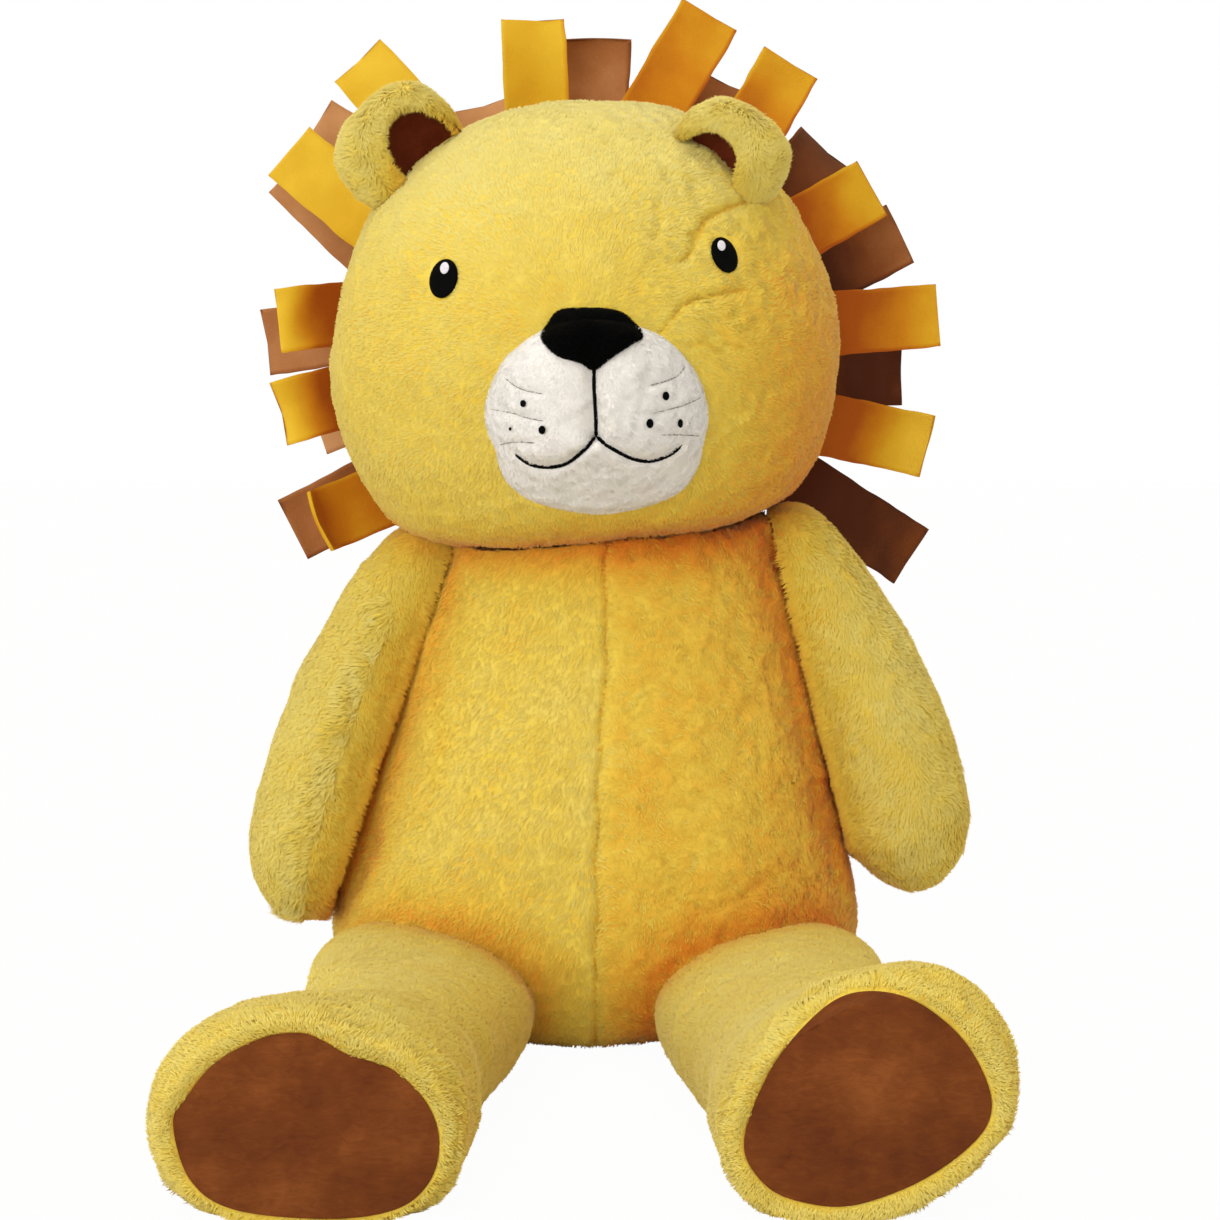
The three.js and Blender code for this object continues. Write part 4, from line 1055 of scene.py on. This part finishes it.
for side, sign in SIDES.items():
    name = "ear_" + side
    turn = turned("y", sign * EAR_LEAN[side]) @ turned("x", EAR_NOD[side])
    root = np.array([sign * EAR_SPREAD[side], -EAR_FORWARD[side], EAR_LIFT[side]])
    half_width, half_height = EAR["half_width"] * EAR_SLIMMING[side], (EAR["height"] + EAR["root"]) / 2
    rings = bag(EAR_OUTLINE, half_width, EAR["depth"], EAR["depth"], half_height, rings=70, sides=110)
    rings[..., 2] += (EAR["height"] - EAR["root"]) / 2
    low = EAR["height"] / 2 - EAR["root"] - EAR_HOLLOW["drop"]
    across = (rings[..., 0] + sign * EAR_HOLLOW["shift"]) / EAR_HOLLOW["half_width"]
    away = np.hypot(across, (rings[..., 2] - low) / EAR_HOLLOW["half_height"])
    front = rings[..., 1] < 0
    rings[front, 1] += (EAR_HOLLOW["depth"] * np.sqrt(np.clip(1 - away**2, 0, 1)))[front]
    away = np.r_[np.where(front, away, 9.0).reshape(-1), 9.0, 9.0]

    def on_head(points):
        return (points @ turn.T + root) @ HEAD_TURN.T + HEAD_MIDDLE

    ear = Skin(on_head(rings))
    ear.keep_out_of(head_form, gap=0.2, near=np.ones(len(ear.points), bool))
    stuffed(ear, seed=41, lumps=1.3, dents=1.1, ridges=0.0)
    above_hollow = ((ear.points - on_head(np.zeros(3))) @ HEAD_TURN) @ turn[:, 2] - low
    # Painted shade: the ear is deeper round the lower side of its hollow
    ear_shaded_tone = 0.08 - 0.3 * smooth_step(1.8, 1.0, away) * smooth_step(34, -12, above_hollow)
    add_yellow("ear_plush_" + side, ear, name, [name], fill=0.5, seed=43, tone=ear_shaded_tone)

    # The lining's cloth lies in the hollow, with a face on each side
    within = away < LINING["share"]
    used, faces = np.unique(ear.quads[within[ear.quads].all(1)], return_inverse=True)
    faces = faces.reshape(-1, 4)
    lift = ear.normals()[used] * LINING["half_thickness"]
    cloth = np.vstack([ear.points[used] + lift, ear.points[used] - lift])
    both = np.vstack([faces, faces[:, ::-1] + len(used)])
    lining = make_object("ear_lining_cloth_" + side, cloth, both, (), np.full(len(cloth), 0.3))
    place_piece(lining, name, "lining_brown", brown_backing, ["ear_lining_" + side])

    towards = unit(on_head(np.array([-sign * EAR_HOLLOW["shift"], -EAR["depth"], low])) - ear.points)
    outside = unit(ear.points - HEAD_MIDDLE) + np.array([0.0, 0.2, -0.2])
    near_rim = smooth_step(1.75, 1.1, away)[:, None]
    comb = outside * (1 - near_rim) + towards * near_rim - UP * 4 * near_rim * (1 - near_rim)
    grow_pile("ear_pile_" + side, ear, 17000, LOCKS, comb, yellow_on(name), seed=151, where=~within,
              tone=ear_shaded_tone, rough=0.9)
    # Painted shade: the fringe at the hollow's edge is a little deeper
    grow_pile("ear_fringe_" + side, ear, 1200, LOCKS, comb, yellow_on(name), seed=152,
              where=(away > 1.0) & (away < 1.35), tone=ear_shaded_tone - 0.06, rough=0.9)
    grow_pile("ear_lining_pile_" + side, ear, 4000, SMOOTH, -towards, (name, "lining_brown", brown_pile),
              seed=153, where=within, tone=-0.16)

# Arms, which lie against the flanks. The left one has a ridge of longer pile

ARM_GAP = 0.8
RIDGE = [(385, 610), (352, 690), (330, 760), (312, 810), (300, 850), (290, 915)]

for side, sign in SIDES.items():
    name, on_left = "arm_" + side, sign < 0
    arm = Skin(arm_rings(side, rings=150, sides=130))
    point, outward, _ = flank(side)
    beyond = (arm.points - point) @ outward - ARM_GAP
    arm.resting = beyond < 0
    pulled_in = smooth_step(8, 1, beyond) * smooth_step(0.2, 0.8, -(arm.normals() @ outward))
    arm.points -= (beyond * np.where(beyond < 0, 1, pulled_in))[:, None] * outward
    arm.keep_out_of(head_form, gap=1.2, near=arm.points[:, 2] > 270)
    stuffed(arm, seed=54 + 3 * sign, lumps=1.4)
    pixels = to_pixels(arm.points)
    ridge = hump(distance_to(pixels, RIDGE), 16) * (arm.points[:, 1] < 0)
    inner = smooth_step(-14, 24, right_of(pixels, RIDGE)) * smooth_step(320, 230, arm.points[:, 2]) * on_left
    # Painted shade: the inner half of the left arm is deeper
    arm_shaded_tone = warm_shade(arm, name, 0.34) + 0.07 - 0.1 * inner
    replaced = [name + "_cover", name + "_filling"]
    add_yellow("arm_plush_" + side, arm, name, replaced, fill=0.8, seed=55, tone=arm_shaded_tone)
    comb = np.array([0.1 * sign, 0.0, -1.0])
    grow_pile("arm_pile_" + side, arm, 50000, SOFT if on_left else LOCKS, comb, yellow_on(name),
              seed=161 + sign, tone=arm_shaded_tone, rough=0.3 + 0.6 * ridge + 0.3 * inner if on_left else 0.7)
    clearance = (arm.points - point) @ outward
    beside_body = (clearance > ARM_GAP + 0.05) & (clearance < 9) & (arm.points[:, 2] < 335)
    # Painted shade: the fibres that reach into the gap by the body are a little deeper
    grow_pile("arm_edge_pile_" + side, arm, 7000, BRIDGE, -outward - UP * 0.4, yellow_on(name), seed=165,
              where=beside_body, tone=arm_shaded_tone - 0.04, rough=0.6, brushed=0)
    if on_left:
        grow_pile("arm_ridge_pile", arm, 4200, FRINGE, comb + np.array([-1.2, 0, 0.3]), yellow_on(name),
                  seed=167, where=ridge > 0.45, tone=0.04, rough=1.1)

# Legs and soles

SOLES = {"left": [(173, 1124), (186, 1098), (215, 1063), (262, 1038), (300, 1033), (323, 1041), (346, 1054),
                  (366, 1060), (396, 1072), (427, 1104), (439, 1141), (430, 1181), (397, 1209), (330, 1219),
                  (235, 1210), (190, 1180)],
         "right": [(744, 1149), (756, 1100), (785, 1048), (830, 1003), (870, 991), (915, 1001), (960, 1036),
                   (987, 1082), (990, 1118), (966, 1150), (915, 1184), (850, 1206), (797, 1201), (764, 1184)]}
SOLE_FOLDS = {"left": [([(400, 1184), (416, 1178), (438, 1170)], 4, 1.6),
                       ([(248, 1040), (262, 1054), (300, 1058)], 4, 0.8),
                       ([(250, 1164), (262, 1158), (284, 1144)], 1.6, -0.5)],
              "right": [([(768, 1180), (778, 1170), (792, 1157)], 4, 1.8),
                        ([(944, 1090), (948, 1115), (964, 1139)], 4, 1.2),
                        ([(957, 1072), (968, 1068), (979, 1080)], 4, 1.0),
                        ([(792, 1190), (820, 1176)], 4, 1.0)]}
LEG_FOLDS = {"left": [([(340, 1012), (356, 1002), (385, 1005)], 12, 1.8),
                      ([(366, 1034), (384, 1026)], 9, 1.4),
                      ([(290, 965), (330, 985), (372, 981)], 18, 2.0)],
             "right": [([(786, 962), (806, 978), (838, 972)], 16, 1.8),
                       ([(930, 985), (945, 1010), (962, 1024)], 10, 1.4),
                       ([(905, 955), (893, 968), (900, 984)], 10, 1.2)]}
SOLE_DEPTH = -395
SOLE_BULGE = np.array([0, -3.5, 0])
CUSHION = {"height": 3.2, "distance": 13, "width": 10, "sink": 1.4}

for side, sign in SIDES.items():
    name = "leg_" + side
    rings = leg_rings(side, rings=190, sides=170)
    end = rings[-1]
    centre = end.mean(0)
    closing = [centre + (end - centre) * share + SOLE_BULGE * (1 - share**2) ** 0.5
               for share in np.linspace(0.99, 0.03, 42)]
    leg = Skin(np.vstack([rings, closing]))
    under_body = smooth_step(18, 6, leg.points[:, 2])
    leg.points[:, 1] = np.minimum(leg.points[:, 1], -60 - 42 * under_body)
    leg.keep_out_of(body_form, gap=0.5, near=leg.points[:, 1] > -200)
    stuffed(leg, seed=64 + 3 * sign, lumps=2.0, ridges=0.3)
    outline = line_through(SOLES[side], count=120, closed=True)
    middle = outline.mean(0)
    pixels = to_pixels(leg.points)
    away = distance_to(pixels, np.vstack([outline, outline[:1]]))
    away = np.where(inside(pixels, outline, middle, share=1), -away, away)
    faces_us = (leg.points[:, 1] < SOLE_DEPTH) & (leg.facing() > 0.2)
    cushion = CUSHION["height"] * hump(away - CUSHION["distance"], CUSHION["width"])
    leg.push(np.where(faces_us, cushion - CUSHION["sink"] * smooth_step(5, -4, away), 0.0))
    for fold in LEG_FOLDS[side]:
        leg.groove(*fold)
    leg.stay_above(FLOOR_LEVEL)
    # Painted shade: the pile is deeper right by the sole's edge. The undersides are paler, which takes back
    # the painted shade of being turned from the light where they face the floor
    leg_shaded_tone = warm_shade(leg, name, 0.32) + 0.045 - 0.05 * (hump(away, 6) * faces_us)
    leg_shaded_tone += 0.12 * smooth_step(-0.6, -0.95, leg.normals()[:, 2])
    replaced = [name + "_cover", name + "_filling"]
    add_yellow("leg_plush_" + side, leg, name, replaced, fill=0.8, seed=65, tone=leg_shaded_tone)

    def sole_height(pixels, share):
        folds = sum(depth * hump(distance_to(pixels, path), width) for path, width, depth in SOLE_FOLDS[side])
        nap = 0.9 * flat_noise(pixels, (70, 40, 9), 71 + sign)
        nap += 0.35 * flat_noise(pixels, (24, 14, 9), 73 + sign)
        return 2.6 * math.sqrt(max(0.0, 1 - share**8)) + (nap - folds) * (1 - share**6) + 1.1

    sole = pillow(outline, middle, [leg.tree()], sole_height, rings=60, sides=180, tuck=1.5)
    sole.stay_above(FLOOR_LEVEL / 2)
    add_piece("sole_suede_" + side, sole, name, "suede_brown", suede, ["sole_" + side], fill=0.3)

    facing = leg.facing()
    covered = (away < -1) & (leg.points[:, 1] < SOLE_DEPTH) & (facing > -0.15)
    near_sole = smooth_step(-300, -400, leg.points[:, 1])
    round_sole = smooth_step(60, 15, away) * smooth_step(-0.1, 0.3, facing) * near_sole
    elsewhere = (1 - round_sole)[:, None]
    outwards = unit((leg.points - centre) * np.array([1.0, 0, 1.0]))
    comb = outwards * (0.2 + near_sole[:, None]) + (BACK - UP * 0.3) * elsewhere
    grow_pile("leg_pile_" + side, leg, 90000, SOFT, comb, yellow_on(name), seed=171 + sign, where=~covered,
              tone=leg_shaded_tone, rough=0.45 + 0.35 * round_sole, brushed=0.9 * elsewhere)
    grow_pile("leg_rim_pile_" + side, leg, 6000, RIM, outwards, yellow_on(name), seed=175 + sign,
              where=faces_us & (away > 0.5) & (away < 15), tone=leg_shaded_tone + 0.02, brushed=0.15)

# Mane: felt strips in two rings. Each has its clock and its aim in degrees from the top, its share of the
# full length, the bend of the whole strip, the curl of its tip, its layer, and the tones of its root and tip,
# which give the felt's own tone together with painted shade from the head and the light

STRIP = {"length": 110, "thickness": 2.4, "cup": 1.6, "inset": 22, "layer": 5, "twist": 9}
STRIP_WIDTH = {"yellow": 45, "brown": 48}
RING_SETBACK = {"yellow": 38, "brown": 56}
STRIP_SEED = {"yellow": 0, "brown": 100}
STRIPS = {
    "yellow": [(-143, -112, 1.06, -10, -80, 0, 0.2, 0.6), (-109, -106, 0.78, -44, 75, 0, 0.05, 0.65),
               (-84, -97, 0.69, -42, 60, 1, 0.1, 0.7), (-62, -50, 0.96, 8, 6, 0, 0.65, 0.7),
               (-33, -43, 1.1, 10, 8, 1, 0.7, 0.65), (-12, -3, 0.87, -8, 34, 0, 0.65, 0.65),
               (12, 30, 1.12, 20, -8, 0, 0.2, 0.4), (40, 30, 1.04, 22, -12, 1, 0.1, 0.5),
               (63, 60, 0.84, 28, -48, 0, 0.1, 0.55), (90, 85, 1.06, 28, -30, 0, 0.1, 0.5),
               (119, 102, 1.22, 36, -72, 0, 0.05, 0.75)],
    "brown": [(-138, -117, 1.3, 22, -30, 0, 0.3, 0.5), (-112, -110, 0.7, 16, 0, 1, 0.8, 0.9),
              (-88, -98, 0.96, 24, 10, 0, 0.65, 0.5), (-72, -46, 1.08, 16, -8, 2, 0.65, 0.7),
              (-44, -58, 1.1, 16, -8, 0, 0.7, 0.75), (-25, -15, 0.62, 26, 20, 1, 0.7, 0.75),
              (3, 2, 0.86, 18, -40, 0, 0.6, 0.5), (32, 24, 0.88, 30, 0, 1, 0.5, 0.5),
              (58, 41, 1.04, 34, 30, 0, 0.2, 0.4), (80, 63, 1.12, 42, -64, 1, 0.15, 0.6),
              (107, 89, 1.08, 38, -16, 0, 0.45, 0.15), (133, 122, 1.7, 30, -10, 0, 0.15, 0.35)],
}


def felt_strip(colour, number, clock, aim, length_share, bow, curl, layer, root_tone_and_shade, tip_tone_and_shade):
    setback, width = RING_SETBACK[colour], STRIP_WIDTH[colour]
    roundness = math.sqrt(1 - (setback / HEAD["behind"]) ** 2)
    clock, aim = math.radians(clock), math.radians(aim)
    point = HEAD_MIDDLE + np.array([math.sin(clock) * (HEAD["half_width"] * roundness - STRIP["inset"]),
                                    setback + layer * STRIP["layer"],
                                    math.cos(clock) * (HEAD["half_height"] * roundness - STRIP["inset"])])
    out = np.array([math.sin(aim), 0, math.cos(aim)])
    wide = np.cross(BACK, out)
    steps, columns = 44, 14
    length = length_share * STRIP["length"]
    across = np.linspace(-0.5, 0.5, columns + 1)
    cup = STRIP["cup"] * (1 - (across * 2) ** 2)
    seed = number * 7 + STRIP_SEED[colour]
    twist = math.radians(np.random.default_rng(seed).uniform(-STRIP["twist"], STRIP["twist"]))
    rows = []
    for step in range(steps + 1):
        share = step / steps
        bend = math.radians(bow * (1 - (1 - share) ** 3) + curl * share**5)
        along = out * math.cos(bend) + BACK * math.sin(bend)
        side = unit(wide * math.cos(twist * share) + BACK * math.sin(twist * share))
        normal = unit(np.cross(along, side))
        middle = point + side * (across * width)[:, None] + normal * cup[:, None]
        wave = (2.2 * noise(middle, 32, seed) + 0.8 * noise(middle, 16, seed + 1)) * share
        edge = 0.7 * noise(middle, 13, seed + 2) * np.abs(across * 2) ** 4
        middle = middle + normal * wave[:, None] + side * (edge * np.sign(across))[:, None]
        half = normal * STRIP["thickness"] / 2
        rows.append(np.vstack([middle - half, (middle + half)[::-1]]))
        point = point + along * length / steps
    skin = Skin(np.array(rows))
    along = np.repeat(np.linspace(0, 1, steps + 1), 2 * (columns + 1))
    tone = root_tone_and_shade + (tip_tone_and_shade - root_tone_and_shade) * smooth_step(0.3, 0.95, np.r_[along, 0, 1])
    # Painted light and shade: felt is paler where it faces along the light's way and deeper where it is
    # turned across it
    tone += 0.8 * (np.abs(skin.normals() @ unit(np.array([-0.5, -0.8, 0.3]))) - 0.78)
    name = f"{colour}_{number:02d}"
    obj = make_object("felt_strip_" + name, skin.points, skin.quads, skin.tris, tone)
    bevel = obj.modifiers.new("edge", "BEVEL")
    bevel.width = 0.0007
    bevel.segments = 2
    bevel.limit_method = "ANGLE"
    bevel.angle_limit = math.radians(50)
    place_piece(obj, "head", "felt_" + colour, felt[colour], ["mane_" + name])


for colour, rows in STRIPS.items():
    for number, row in enumerate(rows, 1):
        felt_strip(colour, number, *row)

# Tail with its tuft

TAIL = {"radius": 13, "reach": 96, "run": 92, "root": 46, "sunk": 7, "floor": 0.35}
TUFT = {"radius": 24, "length": 84, "under_pile": 0.92}
TAIL_LINE = [(0, 0, 1), (0.02, 0.3, 0.72), (0.14, 0.66, 0.3), (0.42, 0.94, 0), (0.74, 1, 0), (1, 0.96, 0)]
TUFT_LINE = [(-0.17, 0.9), (0.5, 0.96), (1, 0.6)]
TUFT_GIRTH = [(0, 0.75), (0.3, 1), (0.6, 1), (1, 0.5)]
ALONG_TAIL = np.array([1.0, 0.2, -0.1])


def round_tube(spine, radius_at, rings, sides):
    def girth(where):
        return radius_at(where), radius_at(where), 0

    return Skin(tube(spine, girth, lambda where: UP, rings, sides))


def tail_radius(where):
    return TAIL["radius"] * round_ends(where, start=0.03, end=0.04)


def tuft_radius(where):
    girth = TUFT["radius"] * share_at(TUFT_GIRTH, where) * round_ends(where, start=0.18, end=0.5)
    return girth * TUFT["under_pile"]


tail_spine = np.array([(run * TAIL["run"], BODY["behind"] - TAIL["sunk"] + reach * TAIL["reach"],
                        TAIL["radius"] - TAIL["floor"] + height * (TAIL["root"] - TAIL["radius"]))
                       for run, reach, height in TAIL_LINE])
tail = round_tube(tail_spine, tail_radius, rings=90, sides=36)
tail.keep_out_of(body_form, gap=0.4, near=tail.points[:, 1] < 140)
stuffed(tail, seed=81, lumps=0.6, dents=0.4)
tail.stay_above(FLOOR_LEVEL)
add_yellow("tail_plush", tail, "tail", ["tail"], fill=0.7, seed=83)
grow_pile("tail_pile", tail, 9000, SMOOTH, ALONG_TAIL, yellow_on("tail"), seed=181)

tail_end, tail_way = tail_spine[-1], unit(tail_spine[-1] - tail_spine[-2])
tuft_spine = [np.array([*(tail_end + tail_way * run * TUFT["length"])[:2], height * TUFT["radius"]])
              for run, height in TUFT_LINE]
tuft = round_tube(tuft_spine, tuft_radius, rings=70, sides=48)
stuffed(tuft, seed=85, lumps=1.5, dents=1.0)
tuft.stay_above(FLOOR_LEVEL)
add_piece("tail_tuft_plush", tuft, "tail", "felt_brown", brown_backing, ["tail_tuft"], fill=0.6,
          tone=backing_tone(tuft, seed=87, tone=-0.1))
grow_pile("tail_tuft_pile", tuft, 9000, LOCKS, ALONG_TAIL, ("tail", "felt_brown", brown_pile), seed=183)

# A pale floor that the camera sees almost white, with only a faint shadow

pale = Cloth("floor_pale", roughness=1.0, specular=0.0)
pale.shader.inputs["Base Color"].default_value = (0.8, 0.8, 0.8, 1)
path = pale.add("LightPath")
seen = pale.maths("MAXIMUM", path.outputs["Is Camera Ray"], path.outputs["Is Glossy Ray"])
white = pale.add("Emission", Strength=1.0)
pale.mix(pale.maths("MULTIPLY", seen, 0.97), pale.shader.outputs[0], white.outputs[0], "Material Output")

FLOOR_REACH = 9000.0
corners = FLOOR_REACH * np.array([[-1, -1, 0], [1, -1, 0], [1, 1, 0], [-1, 1, 0]])
floor = make_object("floor", corners, [[0, 1, 2, 3]], ())
floor.data.materials.append(pale.material)

# Light: a warm studio that the camera sees white, and three soft suns

scene = bpy.context.scene
world = bpy.data.worlds.new("studio")
world.use_nodes = True
scene.world = world
studio = Nodes(world.node_tree)
warm = studio.tree.nodes["Background"]
warm.inputs["Color"].default_value = (1.0, 0.94, 0.84, 1)
warm.inputs["Strength"].default_value = 0.62
white = studio.add("Background", Color=(1, 1, 1, 1), Strength=1.0)
path = studio.add("LightPath")
shown = studio.maths("MAXIMUM", path.outputs["Is Camera Ray"], path.outputs["Is Transmission Ray"])
studio.mix(shown, warm.outputs[0], white.outputs[0], "World Output")


def add_sun(name, place, strength, spread):
    lamp = bpy.data.lights.new(name, "SUN")
    lamp.energy = strength
    lamp.angle = math.radians(spread)
    obj = bpy.data.objects.new(name, lamp)
    obj.rotation_euler = Vector(place).to_track_quat("Z", "Y").to_euler()
    scene.collection.objects.link(obj)


add_sun("key", (-0.85, -1.35, 0.35), strength=1.3, spread=50)
add_sun("top", (-0.1, -0.3, 1.0), strength=0.95, spread=60)
add_sun("behind", (0.3, 1.2, 0.4), strength=0.5, spread=70)

# Camera

SENSOR_WIDTH = 36
scene.view_settings.view_transform = "Standard"
camera_data = bpy.data.cameras.new("camera")
camera_data.sensor_fit = "HORIZONTAL"
camera_data.sensor_width = SENSOR_WIDTH
camera_data.lens = SENSOR_WIDTH * FOCAL_PIXELS / FRAME_PIXELS
camera_data.clip_end = 100
camera = bpy.data.objects.new("camera", camera_data)
camera.location = Vector(CAMERA_PLACE * MM)
camera.rotation_euler = (math.pi / 2 - CAMERA_PITCH, 0, 0)
scene.collection.objects.link(camera)
scene.camera = camera
